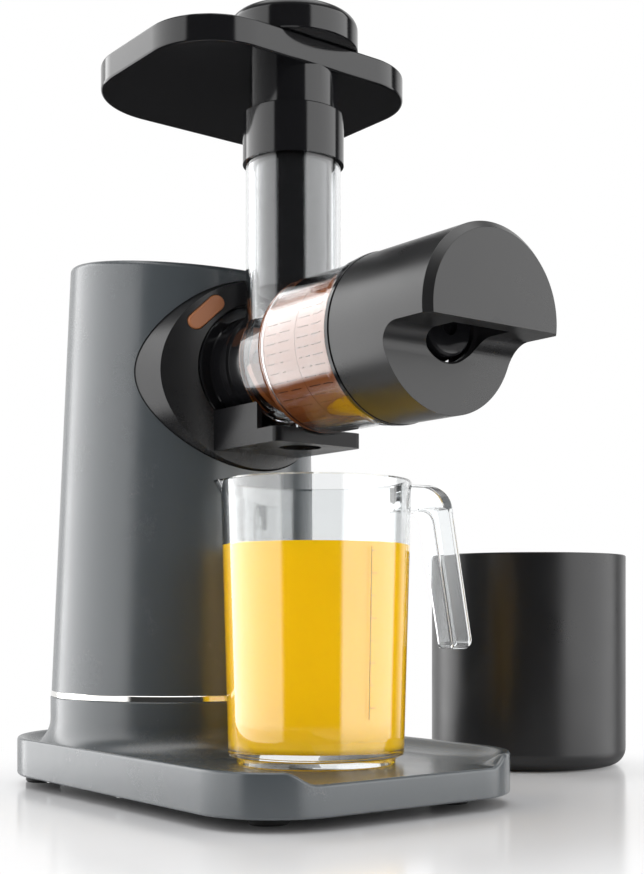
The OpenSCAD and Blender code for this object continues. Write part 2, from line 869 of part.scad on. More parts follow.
module motor_can() {
  color([0.55, 0.56, 0.58]) along_x(motor_x0 + 6, 0, motor_z) difference() {
    cylinder(r = motor_r, h = plate_x - motor_x0 - 6);
    translate([0, 0, -1]) cylinder(r = motor_r - 1.5, h = plate_x - motor_x0 - 7);
    cylinder(r = 6.1, h = 90);
    for (s = [-1, 1]) {
      translate([0, s * motor_hole, 20]) cylinder(r = 1.6, h = 60);
    }
  }
}

module motor_end() {
  color(black_col) along_x(motor_x0, 0, motor_z) difference() {
    union() {
      cylinder(r = motor_r, h = 6);
      cylinder(r = motor_r - 1.6, h = 9);
    }
    translate([0, 0, 3]) cylinder(r = motor_r - 4, h = 10);
    translate([0, 0, -1]) cylinder(r = 6.1, h = 20);
  }
}

module motor_bush(x, len) {
  color([0.72, 0.55, 0.3]) along_x(x, 0, motor_z) difference() {
    cylinder(r = 6.1, h = len);
    translate([0, 0, -1]) cylinder(r = 2.53, h = len + 2);
  }
}

module motor_bush_back() {
  motor_bush(motor_x0, 4);
}

module motor_bush_front() {
  motor_bush(plate_x - 1.5, 5);
}

module motor_screws() {
  color(steel_col) for (s = [-1, 1]) {
    translate([2 * case_x0, 0, 0]) mirror([1, 0, 0])
      screw_x(case_x0, s * motor_hole, motor_z, 1.6, plate_t + 4, 1.2);
  }
}

module mains_inlet() {
  color(black_col) difference() {
    union() {
      translate([-tray_back - 1, -14, tray_z0 + 2.2]) cube([1, 28, 15.6]);
      translate([-tray_back, -10.8, tray_z0 + 3.7]) cube([16, 21.6, 12.6]);
    }
    difference() {
      translate([-tray_back - 2, -8.8, tray_z0 + 5.7]) cube([13, 17.6, 8.6]);
      for (s = [-1, 1]) {
        along_x(-tray_back, s * 4.3, tray_z0 + 10) cylinder(r = 1.2, h = 12);
      }
    }
  }
}

module tube_x(x0, x1, r) {
  along_x(x0, 0, axis_z) cylinder(r = r, h = x1 - x0);
}

module juice_chamber() {
  color(clear_col) difference() {
    union() {
      tube_x(neck_x0, neck_x, neck_r - 2);
      tube_x(neck_x, wide_x, narrow_r);
      tube_x(wide_x, flange_x, wide_r);
      tube_x(flange_x - 5, flange_x, cap_r);
      translate([chute_x, 0, axis_z]) cylinder(r = chute_r, h = chute_top - axis_z);
      // juice spout below the narrow section
      translate([neck_x + 0.5, -spout_r - 1, spout_z]) cube([wide_x - neck_x, 2 * spout_r + 2, 10]);
    }
    tube_x(neck_x0 + 2, neck_x + 1, neck_r - 2 - clear_wall);
    tube_x(neck_x, wide_x + 3, narrow_r - clear_wall);
    tube_x(wide_x + 2, flange_x + 1, wide_r - clear_wall);
    along_x(neck_x0 - 7.5, 0, axis_z) cylinder(r = 9.5, h = 20);
    translate([chute_x, 0, axis_z]) cylinder(r = chute_ri, h = 200);
    translate([neck_x + 2.5, -spout_r + 1, spout_z + 1.8]) cube([wide_x - neck_x + 2, 2 * spout_r - 2, 4]);
    translate([spout_x, 0, spout_z - 1]) cylinder(r = spout_r - 2, h = 4);
  }
}

module bayonet_collar() {
  color(black_col) difference() {
    union() {
      along_x(neck_x0, 0, axis_z) cylinder(r = neck_r, h = neck_x - neck_x0);
      along_x(neck_x0, 0, axis_z) cylinder(r = socket_r - 0.6, h = 3.5);
    }
    along_x(neck_x0 - 7.5, 0, axis_z) cylinder(r = neck_r - 2, h = 50);
    translate([chute_x, 0, axis_z]) cylinder(r = chute_r, h = 60);
    latch_finger(0.4, neck_x0 - 2, neck_x0 + 5, neck_r + 0.5, socket_r + 3);
  }
}

module auger_seal() {
  color([0.85, 0.85, 0.83]) along_x(neck_x0 + 2.1, 0, axis_z) difference() {
    union() {
      cylinder(r = 9.5, h = 2.2);
      translate([0, 0, 0.4]) cylinder(r = 14, h = 1.8);
    }
    translate([0, 0, -1]) cylinder(r = 8.05, h = 6);
  }
}

module auger_thread(x0, x1, r, pitch) {
  along_x(x0, 0, axis_z) rotate([0, 0, -360 * x0 / pitch])
    linear_extrude(x1 - x0, twist = 360 * (x1 - x0) / pitch, slices = round((x1 - x0) * 0.5))
      intersection() {
        circle(r = r, $fn = 40);
        polygon([[0, -4], [r * 1.1, -2.6], [r * 1.1, 2.6], [0, 4]]);
      }
}

module auger() {
  pitch = 38;
  color(amber_col) difference() {
    union() {
      along_x(neck_x0, 0, axis_z) cylinder(r = 8, h = 8);
      along_x(neck_x0 + 4.9, 0, axis_z) cylinder(r1 = 20.6, r2 = 11, h = 8);
      along_x(neck_x0 + 12.5, 0, axis_z)
        cylinder(r1 = 11, r2 = filter_ri - 10, h = flange_x - neck_x0 - 16.5);
      along_x(flange_x - 4.5, 0, axis_z)
        cylinder(r1 = filter_ri - 10, r2 = outlet_r - 2.5, h = low_x - flange_x + 0.5);
      auger_thread(neck_x0 + 8.5, neck_x + 2, neck_r - 5.1, pitch);
      auger_thread(neck_x + 2, filter_x0, narrow_r - 3.2, pitch);
      auger_thread(filter_x0, filter_x1 - 0.5, filter_ri - 0.7, pitch);
    }
    translate([neck_x0 - 1, -3.65, axis_z - 3.65]) cube([13, 7.3, 7.3]);
  }
}

module filter() {
  color(amber_col) difference() {
    union() {
      tube_x(filter_x0, filter_x1, filter_ro - 1);
      for (x = [filter_x0, (filter_x0 + filter_x1) / 2 - 1.3, filter_x1 - 2.6]) {
        tube_x(x, x + 2.6, filter_ro);
      }
    }
    tube_x(filter_x0 - 1, filter_x1 + 1, filter_ri);
    for (x = [filter_x0 + 4, filter_x0 + 14, filter_x0 + 28, filter_x0 + 38]) {
      for (a = [0:15:345]) {
        along_x(x, 0, axis_z) rotate([0, 0, a]) translate([28, -0.6, 0]) cube([8, 1.2, 8]);
      }
    }
  }
}

module cap_seal() {
  color([0.1, 0.1, 0.1]) along_x(flange_x, 0, axis_z) difference() {
    cylinder(r = cap_r - 2.4, h = ring_w + 0.1);
    translate([0, 0, -1]) cylinder(r = wide_r - clear_wall, h = 8);
  }
}

module lock_ring() {
  color(black_col) along_x(flange_x, 0, axis_z) difference() {
    cylinder(r = cap_r + 0.4, h = ring_w);
    translate([0, 0, -1]) cylinder(r = cap_r - 2.1, h = 5);
  }
}

module end_cap() {
  x0 = flange_x + ring_w + 0.1;
  rf = 6.4;
  color(black_col) difference() {
    union() {
      along_x(x0, 0, axis_z) cylinder(r = cap_r, h = cap_x - rf - x0);
      along_x(cap_x - rf, 0, axis_z) rotate_extrude() union() {
        square([cap_r - rf, rf]);
        intersection() {
          translate([cap_r - rf, 0]) circle(r = rf);
          square([cap_r, rf]);
        }
      }
    }
    // chamber inside, narrowing to the outlet
    along_x(x0 - 1, 0, axis_z) cylinder(r = cap_r - 3, h = 12);
    along_x(x0 + 11 - eps, 0, axis_z) cylinder(r1 = cap_r - 3, r2 = outlet_r + 7, h = low_x - x0 - 14);
    along_x(x0 + 1, 0, axis_z) cylinder(r = outlet_r, h = cap_x - 9 - x0);
    // lower half cut back, with a concave corner
    difference() {
      translate([low_x, -60, axis_z - 60]) cube([60, 120, hood_z - axis_z + 60]);
      translate([low_x - 1, -61, hood_z - 10]) cube([11, 122, 12]);
    }
    translate([low_x + 10, 0, hood_z - 10]) rotate([90, 0, 0]) cylinder(r = 10, h = 120, center = true);
    translate([low_x + 10, -60, hood_z - 10]) cube([30, 120, 10]);
  }
}

module hopper_plan(inset) {
  b = 40;
  f = 35;
  h = hopper_half;
  union() {
    translate([hopper_back + b, -h + inset]) square([hopper_front - hopper_back - b - f, 2 * (h - inset)]);
    translate([hopper_back + inset, -h + b]) square([b, 2 * (h - b)]);
    translate([hopper_front - f, -h + f]) square([f - inset, 2 * (h - f)]);
    for (s = [-1, 1]) {
      translate([hopper_back + b, s * (h - b)]) circle(r = b - inset);
      translate([hopper_front - f, s * (h - f)]) circle(r = f - inset);
    }
  }
}

module hopper() {
  color(black_col) difference() {
    union() {
      translate([0, 0, hopper_z0]) linear_extrude(hopper_z1 - hopper_z0) hopper_plan(0);
      translate([chute_x, 0, chute_top]) cylinder(r = throat_r, h = hopper_z0 - chute_top + 1);
      translate([chute_x, 0, collar_z]) cylinder(r = collar_r, h = chute_top + 1.6 - collar_z);
    }
    translate([0, 0, hopper_z0 + 2.6]) linear_extrude(40) hopper_plan(2.6);
    translate([chute_x, 0, collar_z - 1]) cylinder(r = chute_r + 0.04, h = chute_top - collar_z + 1);
    translate([chute_x, 0, chute_top - 5]) cylinder(r = stem_r + 0.35, h = 60);
  }
}

module pusher_stem() {
  shoulder = hopper_z0 + 2.6;
  color(black_col) translate([chute_x, 0, 0]) difference() {
    union() {
      translate([0, 0, stem_z]) cylinder(r = stem_r, h = hopper_z1 - stem_z);
      // shoulder on the hopper's floor, flat along its front wall
      translate([0, 0, shoulder]) difference() {
        cylinder(r = shoulder_r, h = hopper_z1 - shoulder);
        translate([hopper_ahead - 2.9, -30, -1]) cube([20, 60, 40]);
      }
    }
    translate([0, 0, stem_z + 2]) cylinder(r = stem_r - 2, h = hopper_z1 - stem_z);
  }
}

module pusher_cap() {
  rf = 5;
  color(black_col) translate([chute_x, 0, hopper_z1]) difference() {
    union() {
      cylinder(r = pusher_r, h = pusher_top - hopper_z1 - rf);
      translate([0, 0, pusher_top - hopper_z1 - rf]) rotate_extrude() union() {
        square([pusher_r - rf, rf]);
        intersection() {
          translate([pusher_r - rf, 0]) circle(r = rf);
          square([pusher_r, rf]);
        }
      }
      translate([0, 0, -4]) cylinder(r = stem_r - 2.1, h = 5);
    }
    translate([0, 0, -5]) cylinder(r = stem_r - 4, h = pusher_top - hopper_z1 + 2);
  }
}

// Cone that opens into the jug's pouring lip.
module lip_cone(r, low) {
  rotate([0, 0, lip_a]) translate([jug_r1 - 12, 0, jug_z1 - dish_z - low])
    cylinder(r1 = r, r2 = r + lip_rise * (low + 2), h = low + 2);
}

// Point of the jug's handle seen from its side: x across the leaning bar, z above its root.
function bar_at(x, z) = [handle_x + x * cos(handle_lean) - (z - x * sin(handle_lean)) * tan(handle_lean),
  handle_z + z];

// Shape drawn from the handle's side, spread to both sides of its middle.
module handle_part(half) {
  translate([0, half, 0]) rotate([90, 0, 0]) linear_extrude(2 * half) children();
}

module jug() {
  h = jug_z1 - dish_z;
  slope = (jug_r1 - jug_r0) / h;
  color(clear_col) translate([jug_x, 0, dish_z]) union() {
    difference() {
      union() {
        cylinder(r1 = jug_r0, r2 = jug_r1 + slope * 2, h = h + 2);
        lip_cone(10, 12);
      }
      translate([0, 0, jug_foot])
        cylinder(r1 = jug_r0 - jug_wall, r2 = jug_r1 - jug_wall + slope * 3, h = h - jug_foot + 3);
      lip_cone(8, 12.1);
      translate([0, 0, -1]) cylinder(r = jug_r0 - 6, h = 2.2);
      translate([-100, -100, h]) cube([200, 200, 10]);
    }
    rotate([0, 0, handle_a]) difference() {
      handle_part(8) polygon(concat([[jug_r1 - 2, handle_z - 5], bar_at(-4.4, -5), bar_at(-4.4, handle_end),
        bar_at(6.8, handle_end)], [for (i = [0:8]) let (a = handle_lean + (90 - handle_lean) * i / 8)
          [handle_x - 5.1 + corner_r * cos(a), handle_z - 5 + corner_r * sin(a)]],
        [[jug_r1 - 2, handle_z - 5 + corner_r]]));
      handle_part(5.8) polygon([bar_at(-12, 0), bar_at(4.8, 0), bar_at(4.8, handle_end - 2),
        bar_at(-12, handle_end - 2)]);
      translate([0, 0, -1]) cylinder(r1 = jug_r0 - 1, r2 = jug_r1 - 1, h = h + 1);
    }
  }
}

module pulp_cup() {
  rf = 10;
  t = 2.4;
  color(black_col) translate([cup_x, cup_y, 0]) difference() {
    union() {
      translate([0, 0, rf]) cylinder(r = cup_r, h = cup_h - rf);
      rotate_extrude() union() {
        square([cup_r - rf, rf]);
        intersection() {
          translate([cup_r - rf, rf]) circle(r = rf);
          square([cup_r, rf]);
        }
      }
    }
    translate([0, 0, rf]) cylinder(r = cup_r - t, h = cup_h);
    translate([0, 0, t]) cylinder(r = cup_r - rf, h = cup_h);
  }
}

tray_base();
bottom_cover();
cover_screws();
foot_back_left();
foot_back_right();
foot_front_left();
foot_front_right();
trim_band();
tower_shell();
top_panel();
start_button();
reverse_button();
start_spring();
reverse_spring();
control_board();
start_switch();
reverse_switch();
power_module();
board_screws();
face_plate();
face_screws();
release_button();
release_spring();
shaft_seal();
spout_bracket();
bracket_screws();
chassis_plate();
chassis_screws();
gearbox_case();
gearbox_cover();
gearbox_screws();
output_bearing_back();
output_bearing_front();
output_shaft();
output_gear();
idler_gear();
idler_pin();
motor_pinion();
motor_shaft();
armature();
motor_magnets();
motor_can();
motor_end();
motor_bush_back();
motor_bush_front();
motor_screws();
mains_inlet();
juice_chamber();
bayonet_collar();
auger_seal();
auger();
filter();
cap_seal();
lock_ring();
end_cap();
hopper();
pusher_stem();
pusher_cap();
jug();
pulp_cup();
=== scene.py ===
# %% [markdown]
# # A cold press juicer, dressed piece by piece
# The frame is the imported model: every body, joint and size comes from it. Each piece below is
# modelled at its own place in that frame, in metres, and then rides on the body it belongs to.

# %% Load the frame
import json
import math

import bmesh
import bpy
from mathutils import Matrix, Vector

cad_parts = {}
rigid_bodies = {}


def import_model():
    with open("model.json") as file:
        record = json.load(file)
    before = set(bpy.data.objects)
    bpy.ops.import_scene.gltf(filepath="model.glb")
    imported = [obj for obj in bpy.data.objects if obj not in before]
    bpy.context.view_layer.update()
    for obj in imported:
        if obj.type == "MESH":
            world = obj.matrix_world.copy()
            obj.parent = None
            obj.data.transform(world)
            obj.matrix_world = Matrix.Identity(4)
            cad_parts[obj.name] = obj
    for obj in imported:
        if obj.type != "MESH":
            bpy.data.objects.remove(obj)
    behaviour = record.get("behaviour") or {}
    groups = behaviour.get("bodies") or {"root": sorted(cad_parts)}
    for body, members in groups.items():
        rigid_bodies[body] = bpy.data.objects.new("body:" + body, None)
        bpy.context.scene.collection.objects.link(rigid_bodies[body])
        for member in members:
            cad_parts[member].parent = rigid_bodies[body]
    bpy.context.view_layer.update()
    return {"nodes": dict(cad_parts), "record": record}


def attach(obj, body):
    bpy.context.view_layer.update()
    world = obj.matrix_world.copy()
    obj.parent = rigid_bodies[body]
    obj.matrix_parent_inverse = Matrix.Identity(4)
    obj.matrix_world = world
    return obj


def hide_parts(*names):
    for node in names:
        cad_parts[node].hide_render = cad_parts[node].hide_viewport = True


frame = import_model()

nodes = frame["nodes"]

# %% [markdown]
# The camera stands low and level in front of the machine, a little to its right. A level camera keeps
# upright edges parallel, so the view is raised by the lens shift and not by tilting it.

# %% Camera
camera_data = bpy.data.cameras.new("camera")
camera = bpy.data.objects.new("camera", camera_data)
bpy.context.scene.collection.objects.link(camera)
camera.location = (0.62501, -0.38670, 0.08982)
camera.rotation_euler = (math.radians(90), 0, math.radians(51.58))
camera_data.sensor_fit = "VERTICAL"
camera_data.sensor_height = 36
camera_data.lens = 56.60
camera_data.shift_x = -0.0343
camera_data.shift_y = 0.2004
bpy.context.scene.camera = camera
bpy.context.scene.view_settings.view_transform = "Standard"
print("camera lens:", camera_data.lens)

# %% [markdown]
# Shiny black plastic shows mostly what stands round it, so the studio is drawn first: one long soft
# panel on each side, a dark gap between them behind the camera, a ceiling that is bright only overhead,
# and a white room behind. It could be built from area lamps. A world shader gives the same panels with
# no lamp to place, and every panel is a window in two angles: the compass direction and the height
# above the horizon. Looked at directly the backdrop is plain white. Through clear plastic its sides are
# dark, which draws the dark edges that clear plastic has on a light table.

# %% An empty world
world = bpy.data.worlds.new("studio")
bpy.context.scene.world = world
world.use_nodes = True
sky = world.node_tree
sky.nodes.clear()
print("world:", world.name)

# %% Helpers for shader nodes
def math_node(tree, operation, *values, clamp=False):
    """A Math node whose inputs are numbers or other nodes' outputs."""
    node = tree.nodes.new("ShaderNodeMath")
    node.operation = operation
    node.use_clamp = clamp
    for socket, value in zip(node.inputs, values):
        if isinstance(value, (int, float)):
            socket.default_value = value
        else:
            tree.links.new(value, socket)
    return node.outputs[0]


def ramp(tree, value, low, high, to_low=0.0, to_high=1.0):
    """A smooth step from to_low to to_high while value goes from low to high."""
    node = tree.nodes.new("ShaderNodeMapRange")
    node.interpolation_type = "SMOOTHSTEP"
    tree.links.new(value, node.inputs["Value"])
    for name, number in (("From Min", low), ("From Max", high), ("To Min", to_low), ("To Max", to_high)):
        node.inputs[name].default_value = number
    return node.outputs["Result"]


def times(first, second):
    return math_node(sky, "MULTIPLY", first, second)


def plus(first, second):
    return math_node(sky, "ADD", first, second)


# %% Compass and height, turned by 34 degrees so that compass 0 points at the camera
COMPASS_COS, COMPASS_SIN = 0.829, 0.559
DEGREES = 180 / math.pi
direction = sky.nodes.new("ShaderNodeTexCoord").outputs["Generated"]
split = sky.nodes.new("ShaderNodeSeparateXYZ")
sky.links.new(direction, split.inputs[0])
turned_x = plus(times(split.outputs[0], COMPASS_COS), times(split.outputs[1], -COMPASS_SIN))
turned_y = plus(times(split.outputs[0], COMPASS_SIN), times(split.outputs[1], COMPASS_COS))
compass = times(math_node(sky, "ARCTAN2", turned_y, turned_x), DEGREES)
height = times(math_node(sky, "ARCSINE", split.outputs[2]), DEGREES)
off_axis = math_node(sky, "ABSOLUTE", compass)
print("sky nodes so far:", len(sky.nodes))

# %% Panels, room and ceiling, as angles in degrees and strengths of light
PANEL_BOTTOM, PANEL_TOP = -24, 40
LEFT_PANEL, LEFT_FAR, LEFT_NEAR = (-136, -46), 3.4, 1.9
RIGHT_PANEL, RIGHT_LIGHT = (29, 109), 2.4
ROOM_LIGHT, CEILING_EDGE, CEILING_MIDDLE = 0.9, 0.3, 2.0


def window(low, high, bottom=PANEL_BOTTOM, top=PANEL_TOP, soft=3.0):
    """One panel: 1 inside the angles, 0 outside, with soft edges."""
    sides = times(ramp(sky, compass, low - soft, low + soft), ramp(sky, compass, high - soft, high + soft, 1.0, 0.0))
    ends = times(ramp(sky, height, bottom - soft, bottom + soft), ramp(sky, height, top - soft, top + soft, 1.0, 0.0))
    return times(sides, ends)


left_panel = times(window(*LEFT_PANEL), ramp(sky, compass, -130, -50, LEFT_FAR, LEFT_NEAR))
right_panel = times(window(*RIGHT_PANEL), RIGHT_LIGHT)
room = times(ramp(sky, off_axis, 116, 134, 0.0, ROOM_LIGHT),
             times(ramp(sky, height, 36, 50, 1.0, 0.0), ramp(sky, height, -12, -4)))
ceiling = plus(ramp(sky, height, 34, 50, 0.04, CEILING_EDGE), ramp(sky, height, 54, 68, 0.0, CEILING_MIDDLE))
light = plus(plus(left_panel, right_panel), plus(room, ceiling))
print("panels at compass", LEFT_PANEL, RIGHT_PANEL, "height", (PANEL_BOTTOM, PANEL_TOP))

# %% The studio lights the object, and the white backdrop is only looked at
def mix_shaders(tree, factor, first, second):
    """The first shader where the factor is 0 and the second where it is 1."""
    node = tree.nodes.new("ShaderNodeMixShader")
    for socket, source in zip(node.inputs, (factor, first, second)):
        tree.links.new(source, socket)
    return node.outputs[0]


def straight_view(tree, rays):
    """1 for rays that look at the backdrop directly or through clear plastic, before any bounce."""
    bounced = math_node(tree, "ADD", rays.outputs["Glossy Depth"], rays.outputs["Diffuse Depth"], clamp=True)
    through = math_node(tree, "MAXIMUM", rays.outputs["Is Camera Ray"], rays.outputs["Is Transmission Ray"])
    return math_node(tree, "MULTIPLY", through, math_node(tree, "SUBTRACT", 1.0, bounced))


path = sky.nodes.new("ShaderNodeLightPath")
seen = straight_view(sky, path)
studio = sky.nodes.new("ShaderNodeBackground")
sky.links.new(light, studio.inputs["Strength"])
studio.inputs["Color"].default_value = (1, 1, 1, 1)
white = sky.nodes.new("ShaderNodeBackground")
white.inputs["Color"].default_value = (1, 1, 1, 1)
sideways = ramp(sky, off_axis, 112, 136, 0.1, 1.0)
sky.links.new(math_node(sky, "MAXIMUM", path.outputs["Is Camera Ray"], sideways), white.inputs["Strength"])
world_out = sky.nodes.new("ShaderNodeOutputWorld")
sky.links.new(mix_shaders(sky, seen, studio.outputs[0], white.outputs[0]), world_out.inputs["Surface"])
print("world nodes:", len(sky.nodes))

# %% [markdown]
# ## Tools of the trade
# Nearly every part of this machine is turned or drawn from an outline, so four habits do most of the
# work: trace a chain of points by extruding, spin it, or fill and extrude it, then cut one solid with
# another and round its edges with a bevel. Each habit is a small function, so that a piece reads as a
# list of outlines.

# %% Sizes of the real object, in metres, the same values as the solids have
MM = 0.001
TOWER_X = -7.05 * MM
BAND_TOP = 49 * MM
TOWER_R = 69.3 * MM
TAPER = 0.0304
LEAN = math.radians(1.86)
TOP_Z = 266 * MM
TOP_TILT = math.radians(6.84)
AXIS_Z = 209 * MM
BOSS_Z = 206.5 * MM
CHUTE_X = 92.3 * MM
JUG_X = 110.6 * MM
CUP = Vector((46 * MM, 207 * MM, 0))
UP = Vector((0, 0, 1))
ALONG = Vector((1, 0, 0))

# %% Selecting
def deselect():
    if bpy.context.object and bpy.context.object.mode != "OBJECT":
        bpy.ops.object.mode_set(mode="OBJECT")
    bpy.ops.object.select_all(action="DESELECT")


def activate(piece):
    deselect()
    piece.select_set(True)
    bpy.context.view_layer.objects.active = piece


def edit(piece, mode="VERT"):
    """Edit mode on one piece with nothing selected."""
    activate(piece)
    bpy.ops.object.mode_set(mode="EDIT")
    bpy.ops.mesh.select_mode(type=mode)
    bpy.ops.mesh.select_all(action="DESELECT")


def leave():
    bpy.ops.object.mode_set(mode="OBJECT")

# %% Picking faces, edges and vertices by their place
def pick(piece, test, kind="faces"):
    """Selects the faces, edges or vertices whose centre and normal pass the test. Returns how many."""
    mesh = bmesh.from_edit_mesh(piece.data)
    mesh.normal_update()
    count = 0
    for item in getattr(mesh, kind):
        if kind == "faces":
            hit = test(item.calc_center_median(), item.normal)
        elif kind == "edges":
            hit = test((item.verts[0].co + item.verts[1].co) / 2, item)
        else:
            hit = test(item.co, item.normal)
        if hit:
            item.select_set(True)
            count += 1
    mesh.select_flush_mode()
    bmesh.update_edit_mesh(piece.data)
    return count


# %% Tracing a chain of points
def trace(name, points, closed=False):
    """A chain of edges: one vertex, extruded from point to point."""
    deselect()
    bpy.ops.mesh.primitive_plane_add(size=0.01, location=points[0])
    piece = bpy.context.object
    piece.name = name
    bpy.ops.object.mode_set(mode="EDIT")
    bpy.ops.mesh.select_mode(type="VERT")
    bpy.ops.mesh.select_all(action="SELECT")
    bpy.ops.mesh.merge(type="CENTER")
    for here, there in zip(points, points[1:]):
        bpy.ops.mesh.extrude_region_move(TRANSFORM_OT_translate={"value": there - here})
    if closed:
        bpy.ops.mesh.select_all(action="SELECT")
        bpy.ops.mesh.edge_face_add()
    leave()
    bpy.ops.object.transform_apply(location=True, rotation=True, scale=True)
    return piece

# %% Spinning an outline
def outward(piece):
    """Merges doubles and points every face outwards."""
    edit(piece)
    bpy.ops.mesh.select_all(action="SELECT")
    bpy.ops.mesh.remove_doubles(threshold=2e-6)
    bpy.ops.mesh.normals_make_consistent(inside=False)
    leave()


def lathe(name, profile, origin, axis=UP, steps=160):
    """A closed profile of (radius, height) points in millimetres, spun round an axis through origin."""
    radial = Vector((1, 0, 0)) if abs(axis.z) > 0.9 else Vector((0, 0, 1))
    radial = (radial - axis * radial.dot(axis)).normalized()
    points = [Vector(origin) + radial * (r * MM) + axis * (h * MM) for r, h in profile]
    if profile[0][0] > 0 or profile[-1][0] > 0:
        points.append(points[0])
    piece = trace(name, points)
    edit(piece)
    bpy.ops.mesh.select_all(action="SELECT")
    bpy.ops.mesh.spin(steps=steps, angle=math.tau, center=origin, axis=axis)
    leave()
    outward(piece)
    return piece

# %% Filling and extruding an outline
def prism(name, outline, depth):
    """A closed outline of points, filled and extruded by the vector depth."""
    piece = trace(name, outline, closed=True)
    edit(piece, "FACE")
    bpy.ops.mesh.select_all(action="SELECT")
    bpy.ops.mesh.extrude_region_move(TRANSFORM_OT_translate={"value": depth})
    leave()
    outward(piece)
    return piece


def arc(cx, cy, r, a0, a1, count):
    """Points of an arc in a plane, as pairs, angles in degrees."""
    angles = [math.radians(a0 + (a1 - a0) * i / count) for i in range(count + 1)]
    return [(cx + r * math.cos(a), cy + r * math.sin(a)) for a in angles]


def bar_y(name, outline, half):
    """An outline of (x, z) in millimetres, extruded by half to both sides of the middle plane."""
    return prism(name, [Vector((x * MM, -half * MM, z * MM)) for x, z in outline], Vector((0, 2 * half * MM, 0)))

# %% Cutting with a plane and rounding edges
def slice_off(piece, point, normal):
    """Cuts away what lies beyond a plane and fills the cut."""
    edit(piece)
    bpy.ops.mesh.select_all(action="SELECT")
    bpy.ops.mesh.bisect(plane_co=point, plane_no=normal, use_fill=True, clear_outer=True)
    leave()


def round_edges(piece, test, width, segments, clamp=False):
    """Bevels the edges that pass the test."""
    edit(piece, "EDGE")
    pick(piece, test, "edges")
    bpy.ops.mesh.bevel(offset=width * MM, segments=segments, affect="EDGES", clamp_overlap=clamp)
    leave()


# %% Modifiers that are applied at once
def apply(piece, modifier):
    activate(piece)
    bpy.ops.object.modifier_apply(modifier=modifier.name)


def combine(piece, other, operation="DIFFERENCE"):
    """One solid cut by, joined to or limited by another, which is used up."""
    boolean = piece.modifiers.new("cut", "BOOLEAN")
    boolean.operation = operation
    boolean.solver = "EXACT"
    boolean.object = other
    apply(piece, boolean)
    bpy.data.objects.remove(other)
    return piece


def soften(piece, width, segments=3, angle=30):
    """Rounds every edge sharper than the angle."""
    bevel = piece.modifiers.new("soften", "BEVEL")
    bevel.width = width * MM
    bevel.segments = segments
    bevel.limit_method = "ANGLE"
    bevel.angle_limit = math.radians(angle)
    bevel.miter_outer = "MITER_ARC"
    apply(piece, bevel)
    return piece

# %% Placing a finished piece
def place(piece, body, slot, *replaced, smooth=35):
    """Smooths the piece, and says which body carries it and which solids it stands for.

    Large flat faces keep their own normals, so that narrow bevels take up all of the bend.
    """
    activate(piece)
    bpy.ops.object.shade_smooth_by_angle(angle=math.radians(smooth))
    weighted = piece.modifiers.new("flat_faces_first", "WEIGHTED_NORMAL")
    weighted.keep_sharp = True
    apply(piece, weighted)
    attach(piece, body)
    if replaced:
        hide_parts(*replaced)
    size = [round(v * 1000, 1) for v in piece.dimensions]
    print(piece.name, "rides", body, "size mm", size, "faces", len(piece.data.polygons))
    return piece


# %% [markdown]
# ## Tray
# The tray is a low moulding: a narrow rim runs round a sunken floor and sinks into it at the front.
# A cut block would leave a hard step there. Insetting the top face twice gives rim and slope as loops
# of the same outline, and the front part of those loops is then let down together.

# %% Tray outline and block
TRAY_PLAN = (-80, 179, 82.5, 57, 40)


def plan(back, front, half, back_r, front_r, height, inset=0.0, count=40):
    """The plan of tray or hopper: an oblong with small corners in front and large ones behind."""
    points = []
    for cx, cy, r, start in ((front - front_r, front_r - half, front_r, -90),
                             (front - front_r, half - front_r, front_r, 0),
                             (back + back_r, half - back_r, back_r, 90),
                             (back + back_r, back_r - half, back_r, 180)):
        points += arc(cx, cy, r - inset, start, start + 90, count)
    return [Vector((x * MM, y * MM, height * MM)) for x, y in points]


tray = prism("tray", plan(*TRAY_PLAN, 5.5), Vector((0, 0, 19.5 * MM)))
edit(tray, "FACE")
pick(tray, lambda c, n: n.z > 0.9 and c.z > 0.024)
bpy.ops.mesh.inset(thickness=3.2 * MM)
bpy.ops.mesh.inset(thickness=8.5 * MM, depth=-5.5 * MM)
bpy.ops.mesh.select_all(action="DESELECT")
pick(tray, lambda c, n: n.z < -0.9)
bpy.ops.mesh.inset(thickness=3 * MM)
bpy.ops.mesh.extrude_region_move(TRANSFORM_OT_translate={"value": (0, 0, 8 * MM)})
leave()
print("tray block faces:", len(tray.data.polygons))

# %% Rounded loops of the tray
def near(value, target, tolerance=0.05):
    """Whether a length in metres is a number of millimetres."""
    return abs(value / MM - target) < tolerance


TRAY_BACK, TRAY_FRONT, TRAY_HALF, BACK_R, FRONT_R = TRAY_PLAN
BACK_X, BACK_Y = TRAY_BACK + BACK_R, TRAY_HALF - BACK_R
FRONT_X, FRONT_Y = TRAY_FRONT - FRONT_R, TRAY_HALF - FRONT_R


def tray_edge(c, limit_low, limit_high):
    """How far a point lies inside the tray's outline, tested between two limits in millimetres."""
    x, y = c.x / MM, abs(c.y) / MM
    if x > FRONT_X and y > FRONT_Y:
        d = FRONT_R - math.hypot(x - FRONT_X, y - FRONT_Y)
    elif x < BACK_X and y > BACK_Y:
        d = BACK_R - math.hypot(x - BACK_X, y - BACK_Y)
    else:
        d = min(TRAY_FRONT - x, TRAY_HALF - y, x - TRAY_BACK)
    return limit_low < d < limit_high


for low, high, z, width, count in ((-1, 0.5, 25, 1.5, 4), (2.7, 3.7, 25, 1.6, 3),
                                   (11.2, 12.2, 19.5, 6.0, 6), (-1, 0.5, 5.5, 1.2, 3)):
    round_edges(tray, lambda c, e: near(c.z, z) and all(near(v.co.z, z) for v in e.verts)
                and tray_edge(c, low, high), width, count, clamp=True)
print("tray faces after rounding:", len(tray.data.polygons))

